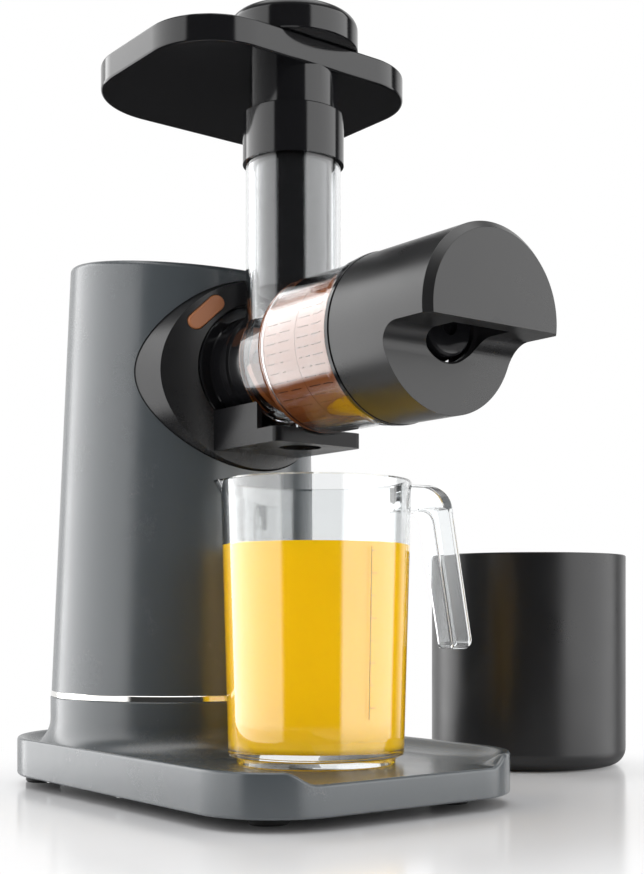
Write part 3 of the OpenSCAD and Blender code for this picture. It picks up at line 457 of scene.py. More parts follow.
# %% Letting the front of the rim down
def front_drop(x, y):
    """0 where the rim stands, 1 where it has sunk into the floor."""
    if x < 100:
        return 0.0
    angle = math.degrees(math.atan2(abs(y) - FRONT_Y, x - FRONT_X)) if x > FRONT_X else 90.0
    t = min(max((31 - angle) / 20, 0.0), 1.0)
    return t * t * (3 - 2 * t)


columns = {}
for vertex in tray.data.vertices:
    x, y, z = (v / MM for v in vertex.co)
    drop = round(front_drop(x, y), 3)
    if drop > 0 and z > 19.55:
        outer = tray_edge(vertex.co, -1, 1.55)
        columns.setdefault((outer, drop), []).append(vertex.index)
for (outer, drop), members in columns.items():
    edit(tray)
    mesh = bmesh.from_edit_mesh(tray.data)
    mesh.verts.ensure_lookup_table()
    for index in members:
        mesh.verts[index].select_set(True)
    bmesh.update_edit_mesh(tray.data)
    if outer:
        bpy.ops.transform.translate(value=(0, 0, -5.45 * drop * MM))
    else:
        bpy.ops.transform.resize(value=(1, 1, 1 - 0.99 * drop), center_override=(0, 0, 19.5 * MM))
    leave()
print("rim columns let down:", len(columns))

# %% [markdown]
# The tower grows out of the tray through a hollow curve, like the foot of a vase. It is spun round the
# tower's axis and joined to the tray; a shallow round seat keeps it clear of the jug.

# %% Foot of the tower
tower_r = TOWER_R / MM
foot_profile = [(50, 16), (85.5, 16), (85.5, 19.2)] + arc(tower_r + 15.6, 34.5, 15, 270, 180, 16)
foot_profile += [(tower_r + 0.6, 45.6), (tower_r + 0.2, 46), (50, 46)]
flare = lathe("flare", foot_profile, (TOWER_X, 0, 0), steps=192)
limit = prism("limit", plan(*TRAY_PLAN, 8, inset=1.6), Vector((0, 0, 50 * MM)))
combine(flare, limit, "INTERSECT")
seat = lathe("seat", [(0, 19.5), (42.4, 19.5), (42.4, 60), (0, 60)], (JUG_X, 0, 0))
combine(flare, seat)
combine(tray, flare, "UNION")
place(tray, "base", "body_paint", "tray_base", smooth=30)

# %% [markdown]
# ## Tower
# The tower is a cone that leans forward, cut off by a sloping plane. The cone is spun, bisected and
# filled, and its top edge is rounded before the inside is taken out, so that the wall keeps its
# thickness.

# %% Tower shell
lean_axis = Vector((math.sin(LEAN), 0, math.cos(LEAN)))
tower_foot = Vector((TOWER_X, 0, BAND_TOP))


def tower_cone(name, inset, low, high, steps=224):
    """The leaning cone between two heights above the trim band, in millimetres."""
    r0 = tower_r - inset - low * TAPER
    r1 = tower_r - inset - high * TAPER
    return lathe(name, [(0, low), (r0, low), (r1, high), (0, high)], tower_foot, lean_axis, steps)


top_normal = Vector((math.sin(TOP_TILT), 0, math.cos(TOP_TILT)))
tower = tower_cone("tower", 0, -10, 240)
slice_off(tower, (0, 0, TOP_Z), top_normal)
slice_off(tower, (0, 0, BAND_TOP), -UP)
outward(tower)


def on_top(point):
    return abs((point - Vector((0, 0, TOP_Z))).dot(top_normal)) < 1e-5


round_edges(tower, lambda c, e: on_top(c) and all(on_top(v.co) for v in e.verts), 3.0, 7)
combine(tower, tower_cone("hollow", 3, -12, 212))
print("tower faces:", len(tower.data.polygons))

# %% Opening for the top panel
def panel_lathe(name, u, profile, steps=96):
    """A turned piece standing in the plane of the top panel."""
    along = Vector((math.cos(TOP_TILT), 0, -math.sin(TOP_TILT)))
    return lathe(name, profile, Vector((0, 0, TOP_Z)) + along * (u * MM), top_normal, steps)


combine(tower, panel_lathe("opening", 0, [(0, -30), (59.35, -30), (59.35, 5), (0, 5)], 160))
print("tower faces with the opening:", len(tower.data.polygons))

# %% Clearance round the face plate
def boss_radius(x):
    """The radius of the face plate's cone at a place on its axis, in millimetres."""
    return 46.4 + (62.6 - x) * 0.234


def boss_cone(name, grow, x0, x1, steps=192):
    """The cone of the face plate, which also gives the clearance cut round it."""
    profile = [(0, x0), (boss_radius(x0) + grow, x0), (boss_radius(x1) + grow, x1), (0, x1)]
    return lathe(name, profile, Vector((0, 0, BOSS_Z)), ALONG, steps)


combine(tower, boss_cone("clearance", 0.45, 20, 80))
place(tower, "base", "body_paint", "tower_shell", smooth=30)

# %% [markdown]
# A bright metal band hides the joint between tray and tower. It is one turned ring whose edges have
# tiny slopes, because a bright edge with no slope shows no highlight.

# %% Trim band
band = lathe("trim", [(66.5, 46), (tower_r + 0.05, 46), (tower_r + 0.3, 46.3), (tower_r + 0.3, 48.7),
                      (tower_r + 0.05, 49), (66.5, 49)], (TOWER_X, 0, 0), steps=224)
place(band, "base", "chrome_trim", "trim_band")

# %% [markdown]
# ## Top panel and its two buttons
# The panel is a flat black disc let into the tower. Each button sits in a round hole with a thin gap,
# and its top is dished for a fingertip. The small button is turned from the same outline.

# %% Top panel
panel = panel_lathe("panel", 0, [(0, -3), (59.2, -3), (59.2, -0.5), (59.0, -0.15), (58.6, 0), (0, 0)], 160)
for u, hole in ((-14, 10.35), (16, 7.35)):
    combine(panel, panel_lathe("hole", u, [(0, -6), (hole, -6), (hole, 3), (0, 3)]))
    combine(panel, panel_lathe("ring", u, [(hole + 1.2, -0.5), (hole + 2.0, -0.5),
                                           (hole + 2.4, 1), (hole + 0.8, 1)]))
combine(panel, boss_cone("clearance", 0.6, 20, 80))
place(panel, "base", "black_satin", "top_panel")


def button(name, u, r, body, slot, node):
    """A round key with a flange below and a top that is dished by 0.9 mm."""
    top = [(r, 0.6), (r - 0.2, 1.1), (r - 0.8, 1.4), (r - 1.6, 1.4)]
    top += [(r * k, 1.4 - 0.9 * (1 - k * k)) for k in (0.75, 0.5, 0.25)]
    piece = panel_lathe(name, u, [(0, -4), (r + 1.6, -4), (r + 1.6, -3), (r, -3)] + top + [(0, 0.5)])
    return place(piece, body, slot, node)


start_key = button("start_key", -14, 10, "start", "copper_plastic", "start_button")
reverse_key = button("reverse_key", 16, 7, "reverse", "grey_plastic", "reverse_button")

# %% [markdown]
# ## Face plate
# A cone that comes out of the tower and ends in a gently curved front. The front is part of an upright
# cylinder, so the cone is limited by one, and the socket, the key hole and the shaft hole are cut in.
# Both surfaces are made of such narrow strips that they look smooth without smooth shading, which
# would leave streaks between strips of unequal length.

# %% Face plate
FACE_R = 98
FACE_X = 64.5


def front_cylinder():
    """The upright cylinder whose surface is the front of the face plate."""
    profile = [(0, 130), (FACE_R, 130), (FACE_R, 290), (0, 290)]
    return lathe("front", profile, (FACE_X * MM - FACE_R * MM, 0, 0), UP, 480)


def turned(name, profile, steps=160):
    """A profile of (radius, x), turned round the auger's axis."""
    return lathe(name, profile, (0, 0, AXIS_Z), ALONG, steps)


def rod(name, r, x0, x1, steps=160):
    """A plain round rod on the auger's axis."""
    return turned(name, [(0, x0), (r, x0), (r, x1), (0, x1)], steps)


face = boss_cone("face", 0, 30, 70, 480)
combine(face, front_cylinder(), "INTERSECT")
outward(face)
socket = [(0, 25), (9, 25), (9, 54.8), (21, 54.8), (21, 57.5), (24, 57.5), (24, 54.5), (32.6, 54.5),
          (32.6, 62.4), (33.4, 63.6), (33.4, 80), (0, 80)]
combine(face, turned("socket", socket))

# %% [markdown]
# The release key is a rounded bar that stands just proud of the face plate. Its hole is the same bar,
# wider by the gap. Its front is one flat slope, cut square to the curved face where the key sits.

# %% Release key, turned 45 degrees on the face plate
LATCH = math.radians(135)
LATCH_R = 40.5
latch_y = LATCH_R * math.cos(LATCH)
latch_z = BOSS_Z / MM + LATCH_R * math.sin(LATCH)


def capsule(name, r, half, x0, x1):
    """A rounded bar lying across the face plate, extruded forward."""
    turn = math.radians(45)
    flat = arc(half, 0, r, -90, 90, 20) + arc(-half, 0, r, 90, 270, 20)
    points = [Vector((x0 * MM, (latch_y + a * math.cos(turn) - b * math.sin(turn)) * MM,
                      (latch_z + a * math.sin(turn) + b * math.cos(turn)) * MM)) for a, b in flat]
    return prism(name, points, Vector(((x1 - x0) * MM, 0, 0)))


combine(face, capsule("key_hole", 4.2, 6.7, 50, 75))
place(face, "base", "black_satin", "face_plate", smooth=0.4)
key = capsule("release_key", 3.85, 6.7, 54, 75)
key_slope = math.asin(-latch_y / FACE_R)
key_front = FACE_R + 0.8
key_point = ((key_front * math.cos(key_slope) - (FACE_R - FACE_X)) * MM, -key_front * math.sin(key_slope) * MM, 0)
slice_off(key, key_point, (math.cos(key_slope), -math.sin(key_slope), 0))
outward(key)
round_edges(key, lambda c, e: c.x > 0.058 and abs(e.calc_face_angle(0)) > math.radians(30), 0.8, 4)
place(key, "release", "copper_plastic", "release_button")

# %% [markdown]
# ## Spout bracket
# A black shelf below the socket that the clear spout rests in. It is drawn from the side, extruded
# across, and hollowed from above, with two rounded front corners.

# %% Spout bracket
side = [(60, 168), (114, 168), (114, 175), (98, 175), (98, 187), (95, 190), (60, 190)]
bracket = bar_y("bracket", side, 25)
shelf = [Vector((x * MM, y * MM, 160 * MM)) for x, y in
         [(40, -25), (40, 25)] + arc(110, 21, 4, 90, 0, 8) + arc(110, -21, 4, 0, -90, 8)]
combine(bracket, prism("shelf", shelf, Vector((0, 0, 40 * MM))), "INTERSECT")
combine(bracket, bar_y("room", [(66, 175), (130, 175), (130, 200), (66, 200)], 22))
combine(bracket, front_cylinder())
combine(bracket, rod("clearance", 32.9, 50, 130))
combine(bracket, rod("wide_clearance", 36.6, 110, 130))
combine(bracket, lathe("drain", [(0, 160), (10, 160), (10, 190), (0, 190)], (98 * MM, 0, 0), steps=64))
soften(bracket, 0.8, 3, 40)
place(bracket, "base", "black_satin", "spout_bracket")

# %% [markdown]
# ## Clear juice chamber
# One clear moulding: a stepped tube along the auger, an upright chute and a small spout below. Clear
# plastic needs a real wall, so outer and inner shapes are turned apart and taken from one another.

# %% Juice chamber
outer = [(0, 57.6), (24.4, 57.6), (24.4, 88), (28.0, 88), (29, 89), (29, 108)]
outer += [(29.3, 110), (30.4, 111.4), (32.6, 112.2), (34.8, 113.2), (35.8, 114.8), (36, 117), (36, 160.4),
          (36.6, 161), (37.2, 161.2), (37.4, 161.6), (37.4, 165.6), (37.2, 166), (0, 166)]
chamber = turned("chamber", outer, 192)
chute = lathe("chute", [(0, 0), (22.7, 0), (22.7, 115.4), (22.3, 116), (0, 116)], (CHUTE_X, 0, AXIS_Z), steps=160)
combine(chamber, chute, "UNION")
combine(chamber, bar_y("spout", [(88.5, 175.8), (111, 175.8), (111, 186), (88.5, 186)], 10), "UNION")
inner = [(0, 59.6), (21.9, 59.6), (21.9, 89), (25.4, 90.4), (26.4, 91.4), (26.4, 110.5), (27.2, 112.6),
         (30, 114.4), (32.6, 115.2), (33.4, 117), (33.4, 170), (0, 170)]
combine(chamber, turned("inside", inner, 192))
combine(chamber, lathe("chute_in", [(0, 0), (20.1, 0), (20.1, 130), (0, 130)], (CHUTE_X, 0, AXIS_Z), steps=160))
combine(chamber, rod("shaft", 9.5, 50, 70, 64))
combine(chamber, bar_y("channel", [(90.5, 177.6), (113, 177.6), (113, 182), (90.5, 182)], 8))
combine(chamber, lathe("drip", [(0, 170), (7, 170), (7, 179), (0, 179)], (98 * MM, 0, 0), steps=64))
place(chamber, "chamber", "clear_plastic", "juice_chamber", smooth=28)

# %% [markdown]
# A black collar with raised ribs sits on the chamber's neck and locks into the socket. All its steps are
# in its outline, so it is turned in one go, and only the chute's hole is cut.

# %% Bayonet collar
collar = turned("collar", [(24.5, 57.5), (31.6, 57.5), (32, 57.9), (32, 60.6), (31.6, 61), (27, 61),
                           (26.5, 61.6), (26.5, 72), (27.6, 72.6), (27.6, 75.4), (26.5, 76), (26.5, 87.2),
                           (25.9, 88), (24.5, 88)])
combine(collar, lathe("chute_hole", [(0, 10), (22.75, 10), (22.75, 60), (0, 60)], (CHUTE_X, 0, AXIS_Z)))
place(collar, "chamber", "black_satin", "bayonet_collar")

# %% [markdown]
# ## Auger and filter
# The auger is a turned core with a blade that winds round it: a short line, turned and moved along by
# the Screw modifier and thickened. The blade is in three strips, each wider than the last, with a gap
# at each step of the chamber, so that it clears the clear wall all the way round. The filter is a spun
# tube whose slots are faces that are picked by their place and deleted before the wall gets its
# thickness.

# %% Auger core
auger = turned("auger_core", [(0, 57.6), (8, 57.6), (8, 62.4), (20.6, 62.4), (15, 66), (11, 70.5), (12.4, 90),
                              (20, 162), (19.5, 166), (12.6, 202.2), (11.6, 203), (4, 203), (4, 201), (0, 201)], 96)
SQUARE = 3.65
corners = ((-SQUARE, -SQUARE), (SQUARE, -SQUARE), (SQUARE, SQUARE), (-SQUARE, SQUARE))
combine(auger, prism("square", [Vector((50 * MM, y * MM, AXIS_Z + z * MM)) for y, z in corners],
                     Vector((20 * MM, 0, 0))))
print("auger core faces:", len(auger.data.polygons))

# %% Auger blades
PITCH = 38
BLADE_FOOT = 9


def blade(name, x0, x1, r, start):
    """A strip of the auger's thread between two places on its axis."""
    piece = trace(name, [Vector((0, 0, BLADE_FOOT * MM)), Vector((0, 0, r * MM))])
    screw = piece.modifiers.new("wind", "SCREW")
    screw.axis = "X"
    screw.angle = math.radians(360 * (x1 - x0) / PITCH)
    screw.screw_offset = (x1 - x0) * MM
    screw.steps = screw.render_steps = max(12, int((x1 - x0) * 1.6))
    apply(piece, screw)
    wall = piece.modifiers.new("wall", "SOLIDIFY")
    wall.thickness = 3.4 * MM
    wall.offset = 0
    apply(piece, wall)
    activate(piece)
    bpy.ops.transform.rotate(value=math.radians(start), orient_axis="X", center_override=(0, 0, 0))
    bpy.ops.transform.translate(value=(x0 * MM, 0, AXIS_Z))
    bpy.ops.object.transform_apply(location=True, rotation=True, scale=True)
    outward(piece)
    return piece


for part in (blade("blade_neck", 66, 91, 21.3, 0), blade("blade_narrow", 93.6, 114.6, 25.7, 261),
             blade("blade_wide", 117, 163, 29.3, 123)):
    combine(auger, part, "UNION")
auger.name = "auger_screw"
place(auger, "auger", "amber_plastic", "auger")

# %% Filter drum
rows = [113.5, 116.1, 117.5, 125.5, 127.5, 135.5, 137.2, 139.8, 141.5, 149.5, 151.5, 159.5, 160.9, 163.5]
drum = trace("filter_drum", [Vector((x * MM, 0, AXIS_Z + 31.6 * MM)) for x in rows])
edit(drum)
bpy.ops.mesh.select_all(action="SELECT")
bpy.ops.mesh.spin(steps=480, angle=math.tau, center=(0, 0, AXIS_Z), axis=ALONG)
leave()
outward(drum)
print("drum faces:", len(drum.data.polygons))

# %% Slots, wall and ribs of the filter
edit(drum, "FACE")
slots = {(117.5, 125.5), (127.5, 135.5), (141.5, 149.5), (151.5, 159.5)}


def is_slot(c, _):
    """Whether a face lies on one of the 48 lines of slots, 7.5 degrees apart."""
    turn = math.degrees(math.atan2(c.y, c.z - AXIS_Z)) % 7.5
    return turn < 0.75 and any(a < c.x / MM < b for a, b in slots)


removed = pick(drum, is_slot)
bpy.ops.mesh.delete(type="FACE")
leave()
shell = drum.modifiers.new("wall", "SOLIDIFY")
shell.thickness = 1.6 * MM
shell.offset = 0
apply(drum, shell)
for x in (113.5, 137.2, 160.9):
    rib = [(30.2, x), (32.6, x), (32.6, x + 2.6), (30.2, x + 2.6)]
    combine(drum, turned("rib", rib, 144), "UNION")
place(drum, "chamber", "amber_plastic", "filter")
print("slots cut:", removed)

# %% [markdown]
# ## Lock ring and end cap
# The cap closes the chamber, and its front is cut back to a hood that throws the pulp down. The turned
# body has a narrow slope round its front, drawn in its outline, the cut is one prism with a hollow
# corner, and the outlet is drilled.

# %% Lock ring
ring = turned("lock", [(35.3, 166), (37.6, 166), (37.8, 166.2), (37.8, 168.2), (37.6, 168.4), (35.3, 168.4)], 192)
place(ring, "lock", "black_satin", "lock_ring")

# %% End cap
cap_outline = [(0, 168.5), (37.1, 168.5), (37.4, 168.8), (37.4, 227.9), (34.3, 231), (0, 231)]
cap = turned("cap", cap_outline, 192)
cut = [(202, 160), (240, 160), (240, 205.2), (212, 205.2)] + arc(212, 195.2, 10, 90, 180, 12)[1:]
combine(cap, bar_y("cut", cut, 50))
soften(cap, 0.3, 2, 35)
combine(cap, turned("inside", [(0, 160), (34.4, 160), (34.4, 179.5), (22, 199), (0, 199)], 128))
outlet = [(0, 190), (15, 190), (15, 201.2), (16.2, 202.4), (16.2, 222.2), (0, 222.2)]
combine(cap, turned("outlet", outlet, 128))
place(cap, "cap", "black_satin", "end_cap", smooth=30)

# %% [markdown]
# ## Hopper and pusher
# The hopper is a shallow tray with a neck that slips over the chute. Its room is a second, smaller block
# whose lower edge is rounded, and cutting with it leaves a hollow curve between floor and rim. The
# pusher is a turned tube with a lid on top, and a flat on its shoulder clears the tray's front.

# %% Hopper
HOPPER_PLAN = (0, 113.5, 69.5, 40, 35)
hopper = prism("hopper_tray", plan(*HOPPER_PLAN, 344.5, count=24), Vector((0, 0, 12.5 * MM)))
round_edges(hopper, lambda c, _: near(c.z, 344.5), 1.4, 4)
round_edges(hopper, lambda c, _: near(c.z, 357), 1.0, 3)
dish = prism("hopper_room", plan(*HOPPER_PLAN, 347.1, inset=2.6, count=24), Vector((0, 0, 30 * MM)))
round_edges(dish, lambda c, _: near(c.z, 347.1), 4, 5)
neck = [(18.55, 303.2), (24.15, 303.2), (24.15, 326.1), (23.7, 326.6), (21.1, 326.6), (21.1, 346.5), (18.55, 346.5)]
combine(hopper, lathe("neck", neck, (CHUTE_X, 0, 0)), "UNION")
combine(hopper, dish)
throat = [(0, 300), (22.75, 300), (22.75, 325), (18.55, 325), (18.55, 350), (0, 350)]
combine(hopper, lathe("throat", throat, (CHUTE_X, 0, 0)))
place(hopper, "hopper", "black_satin", "hopper", smooth=30)

# %% Pusher
stem = lathe("stem", [(0, 242), (17.2, 242), (18.2, 243), (18.2, 347.1), (22.6, 347.1), (22.6, 357),
                      (16.2, 357), (16.2, 244), (0, 244)], (CHUTE_X, 0, 0))
flat_x, beyond_x = CHUTE_X / MM + 18.3, CHUTE_X / MM + 40
combine(stem, bar_y("flat", [(flat_x, 344), (beyond_x, 344), (beyond_x, 360), (flat_x, 360)], 30))
place(stem, "pusher", "black_satin", "pusher_stem")
lid_line = [(0, 357), (30.4, 357), (30.9, 357.5)] + arc(25.9, 367, 5, 0, 90, 8) + [(0, 372)]
lid = lathe("lid", lid_line, (CHUTE_X, 0, 0))
place(lid, "pusher", "black_satin", "pusher_cap")

# %% [markdown]
# ## Jug, juice and pulp cup
# The jug is a thick-walled clear beaker on a recessed foot ring, with a pouring lip and a channel-shaped
# handle. Its scale is a row of thin printed lines. The juice is a solid that reaches a hair into the
# clear wall, so that no air shows between them.

# %% Jug
SLOPE = 3.6 / 131.5


def jug_r(z):
    """The jug's outer radius at a height, in millimetres."""
    return 41 + (z - 19.5) * SLOPE


body_outline = [(0, 23.2), (33.4, 23.2), (33.7, 19.9), (34.1, 19.5), (36.6, 19.5), (37.0, 19.9), (37.3, 22.8),
                (37.8, 23.2), (39.8, 23.2), (40.8, 23.8), (41.15, 25.2)]
body_outline += [(jug_r(z), z) for z in (40, 80, 120, 150.2)] + [(jug_r(151) - 0.5, 151), (0, 151)]
jug = lathe("jug_body", body_outline, (JUG_X, 0, 0), steps=192)
LIP_TURN = math.radians(232)
LIP_R = 31.2 * MM
lip_at = Vector((JUG_X + LIP_R * math.cos(LIP_TURN), LIP_R * math.sin(LIP_TURN), 0))
combine(jug, lathe("lip", [(0, 139), (10, 139), (10 + 0.58 * 12, 151), (0, 151)], lip_at, steps=96), "UNION")
combine(jug, lathe("lip_in", [(0, 138.9), (8, 138.9), (8 + 0.58 * 16, 154.9), (0, 154.9)], lip_at, steps=96))
room = [(0, 26.5), (34, 26.5), (37, 27.3), (38.6, 29.4)]
room += [(jug_r(z) - 2.2, z) for z in (40, 80, 120, 155)] + [(0, 155)]
combine(jug, lathe("jug_room", room, (JUG_X, 0, 0), steps=192))
place(jug, "jug", "clear_plastic", "jug", smooth=30)

# %% [markdown]
# The handle is a clear channel that is open towards the jug. It is drawn from its side and extruded,
# hollowed with a narrower drawing, and cut back to the jug's wall.

# %% Jug handle
HANDLE = math.radians(75)
handle_dir = Vector((math.cos(HANDLE), math.sin(HANDLE), 0))
handle_side = Vector((-math.sin(HANDLE), math.cos(HANDLE), 0))


def handle_part(name, outline, half):
    """An outline of (distance from the jug's axis, height), extruded to both sides of the handle."""
    base = Vector((JUG_X, 0, 0)) - handle_side * (half * MM)
    points = [base + handle_dir * (d * MM) + UP * (z * MM) for d, z in outline]
    return prism(name, points, handle_side * (2 * half * MM))


outside = [(43.3, 150.6), (55.5, 150.6)] + arc(55.5, 138, 12.6, 90, 9.4, 12)[1:]
outside += arc(74.0, 76.4, 4.4, 9.4, -90, 8) + [(67.9, 72)]
outside += arc(51.5, 131.5, 6.5, 9.4, 90, 6) + [(43.3, 138)]
handle = handle_part("handle", outside, 8)
soften(handle, 0.9, 3, 40)
inside = [(79.2, 60), (66.3, 137.9), (65.6, 139.4), (64, 140.2), (52, 140.2), (50.4, 139.2), (50, 137.8), (50, 60)]
combine(handle, handle_part("channel", inside, 5.8))
combine(handle, lathe("keep_out", [(0, 19.5), (40.5, 19.5), (44.0, 160), (0, 160)], (JUG_X, 0, 0), steps=96))
place(handle, "jug", "clear_plastic", smooth=30)

# %% [markdown]
# The scale is printed, so its lines are thin bars that sink a little into the wall. They are joined to
# one piece, because they move and look as one.

# %% Points and bars on the jug's wall
LINE = 0.4 * MM
tick_turn = math.radians(-3)
out = Vector((math.cos(tick_turn), math.sin(tick_turn), 0))
across = Vector((-math.sin(tick_turn), math.cos(tick_turn), 0))


def on_wall(z):
    """A point on the jug's wall, where the scale is."""
    return Vector((JUG_X, 0, 0)) + out * ((jug_r(z) - 0.1) * MM) + UP * (z * MM)


def printed(low, high, width):
    """A thin bar of print between two points on the wall."""
    return prism("tick", [low, low + across * width, high + across * width, high], out * (0.3 * MM))


print("scale starts at", [round(v, 4) for v in on_wall(42)])

# %% Scale lines printed on the jug
ticks = []
for index in range(8):
    mark = on_wall(47 + 10 * index)
    ticks.append(printed(mark, mark + UP * LINE, (3.5 if index % 2 == 0 else 2) * MM))
ticks.append(printed(on_wall(42), on_wall(119), LINE))
deselect()
for tick in ticks:
    tick.select_set(True)
bpy.context.view_layer.objects.active = ticks[0]
bpy.ops.object.join()
scale = bpy.context.object
scale.name = "scale_lines"
place(scale, "jug", "clear_plastic", smooth=30)

# %% Juice
LEVEL = 121.4
fill = [(0, 26.45), (34, 26.45), (37.05, 27.2), (38.7, 29.3)]
fill += [(jug_r(z) - 2.12, z) for z in (40, 80, LEVEL - 0.6)]
level_r = jug_r(LEVEL)
fill += [(level_r - 2.3, LEVEL), (level_r - 3.4, LEVEL - 0.5), (level_r - 6, LEVEL - 0.7), (0, LEVEL - 0.7)]
juice = lathe("juice", fill, (JUG_X, 0, 0), steps=192)
place(juice, "jug", None, smooth=40)

# %% [markdown]
# The pulp cup and the rubber feet are plain turned pieces. The cup's outline runs up its outside and
# down its inside, so that it has a real wall and a rounded rim. The feet are turned once and copied.

# %% Pulp cup
cup_line = [(0, 2.6), (42.8, 2.6), (44.8, 0)] + arc(47.4, 10, 10, -90, 0, 9)
cup_line += [(57.4, 122.6), (57.0, 123.2), (56.4, 123.4), (55.6, 123.4), (55.2, 123.0), (55.0, 122.4)]
cup_line += arc(45, 14.4, 10, 0, -90, 8) + [(0, 4.4)]
cup = lathe("pulp_cup_shell", cup_line, CUP, steps=224)
place(cup, "cup", "black_satin", "pulp_cup")

# %% Rubber feet
foot_line = [(0, 1), (5, 1), (5.4, 0), (8.2, 0), (9, 0.9), (9, 4.6), (8.6, 5.5), (0, 5.5)]
first = lathe("foot_a", foot_line, (0, 0, 0), steps=64)
for letter, node, x, y in (("b", "foot_back_left", -50, 61), ("c", "foot_back_right", -50, -61),
                           ("d", "foot_front_left", 146, 52), ("e", "foot_front_right", 146, -52)):
    copy = first.copy()
    copy.data = first.data.copy()
    copy.name = "foot_" + letter
    bpy.context.scene.collection.objects.link(copy)
    copy.location = (x * MM, y * MM, 0)
    activate(copy)
    bpy.ops.object.transform_apply(location=True, rotation=True, scale=True)
    place(copy, "base", "rubber_black", node)
bpy.data.objects.remove(first)

# %% [markdown]
# ## Finishes
# Moulded plastic is never quite even: its gloss drifts, its skin has a fine grain, and its colour
# changes a little over a hand's width. Two small node groups carry that, so that each finish states
# only its own values. Clear plastic gets one thing more: shadow rays pass straight through it, because
# it would throw a black shadow otherwise.

# %% Building a node group
def new_group(name, inputs, outputs):
    """An empty node group with its sockets, and its input and output nodes."""
    group = bpy.data.node_groups.new(name, "ShaderNodeTree")
    for label, kind, value in inputs:
        socket = group.interface.new_socket(label, in_out="INPUT", socket_type=kind)
        if value is not None:
            socket.default_value = value
    for label, kind in outputs:
        group.interface.new_socket(label, in_out="OUTPUT", socket_type=kind)
    return group, group.nodes.new("NodeGroupInput"), group.nodes.new("NodeGroupOutput")


def noise(tree, vector, scale, detail, rough=0.55):
    """A noise pattern, whose scale is a number or another node's output."""
    node = tree.nodes.new("ShaderNodeTexNoise")
    tree.links.new(vector, node.inputs["Vector"])
    if isinstance(scale, (int, float)):
        node.inputs["Scale"].default_value = scale
    else:
        tree.links.new(scale, node.inputs["Scale"])
    node.inputs["Detail"].default_value = detail
    node.inputs["Roughness"].default_value = rough
    return node.outputs["Fac"]

# %% Moulded skin: gloss that drifts, and a fine grain
FLOAT, COLOR, VECTOR = "NodeSocketFloat", "NodeSocketColor", "NodeSocketVector"
skin, skin_in, skin_out = new_group(
    "moulded_skin", [("Vector", VECTOR, None), ("Grain", FLOAT, 1500.0), ("Dull", FLOAT, 0.4), ("Bright", FLOAT, 0.3)],
    [("Roughness", FLOAT), ("Height", FLOAT)])
drift_mask = noise(skin, skin_in.outputs["Vector"], 26.0, 4.0)
fine = noise(skin, skin_in.outputs["Vector"], skin_in.outputs["Grain"], 2.0)
spread = skin.nodes.new("ShaderNodeMapRange")
unevenness = math_node(skin, "ADD", math_node(skin, "MULTIPLY", drift_mask, 0.75),
                       math_node(skin, "MULTIPLY", fine, 0.25))
skin.links.new(unevenness, spread.inputs["Value"])
spread.inputs["From Min"].default_value = 0.35
spread.inputs["From Max"].default_value = 0.65
skin.links.new(skin_in.outputs["Bright"], spread.inputs["To Min"])
skin.links.new(skin_in.outputs["Dull"], spread.inputs["To Max"])
skin.links.new(spread.outputs["Result"], skin_out.inputs["Roughness"])
skin.links.new(fine, skin_out.inputs["Height"])
print("skin nodes:", len(skin.nodes))

# %% Tone that drifts
tone, tone_in, tone_out = new_group(
    "tone_drift", [("Vector", VECTOR, None), ("Low", COLOR, (0, 0, 0, 1)), ("High", COLOR, (1, 1, 1, 1)),
                   ("Scale", FLOAT, 14.0)], [("Color", COLOR)])
blend = tone.nodes.new("ShaderNodeMix")
blend.data_type = "RGBA"
tone.links.new(noise(tone, tone_in.outputs["Vector"], tone_in.outputs["Scale"], 5.0), blend.inputs["Factor"])
tone.links.new(tone_in.outputs["Low"], blend.inputs["A"])
tone.links.new(tone_in.outputs["High"], blend.inputs["B"])
tone.links.new(blend.outputs["Result"], tone_out.inputs["Color"])
print("groups:", [g.name for g in bpy.data.node_groups])

# %% A general finish
def finish(name, color, bright, dull, grain=1500.0, bump=0.05, change=0.06, stretch=None, **values):
    """A moulded, painted or metal finish. values are the Principled shader's own constants."""
    material = bpy.data.materials.new(name)
    material.use_nodes = True
    tree = material.node_tree
    shader = tree.nodes["Principled BSDF"]
    place_at = tree.nodes.new("ShaderNodeTexCoord").outputs["Object"]
    if stretch:
        mapping = tree.nodes.new("ShaderNodeMapping")
        mapping.inputs["Scale"].default_value = stretch
        tree.links.new(place_at, mapping.inputs["Vector"])
        place_at = mapping.outputs["Vector"]
    colour = tree.nodes.new("ShaderNodeGroup")
    colour.node_tree = tone
    tree.links.new(place_at, colour.inputs["Vector"])
    colour.inputs["Low"].default_value = [c * (1 - change) for c in color] + [1]
    colour.inputs["High"].default_value = [c * (1 + change) for c in color] + [1]
    tree.links.new(colour.outputs["Color"], shader.inputs["Base Color"])
    surface = tree.nodes.new("ShaderNodeGroup")
    surface.node_tree = skin
    tree.links.new(place_at, surface.inputs["Vector"])
    surface.inputs["Grain"].default_value = grain
    surface.inputs["Bright"].default_value = bright
    surface.inputs["Dull"].default_value = dull
    tree.links.new(surface.outputs["Roughness"], shader.inputs["Roughness"])
    relief = tree.nodes.new("ShaderNodeBump")
    relief.inputs["Strength"].default_value = bump
    relief.inputs["Distance"].default_value = 0.0002
    tree.links.new(surface.outputs["Height"], relief.inputs["Height"])
    tree.links.new(relief.outputs["Normal"], shader.inputs["Normal"])
    for label, value in values.items():
        shader.inputs[label.replace("_", " ")].default_value = value
    return material

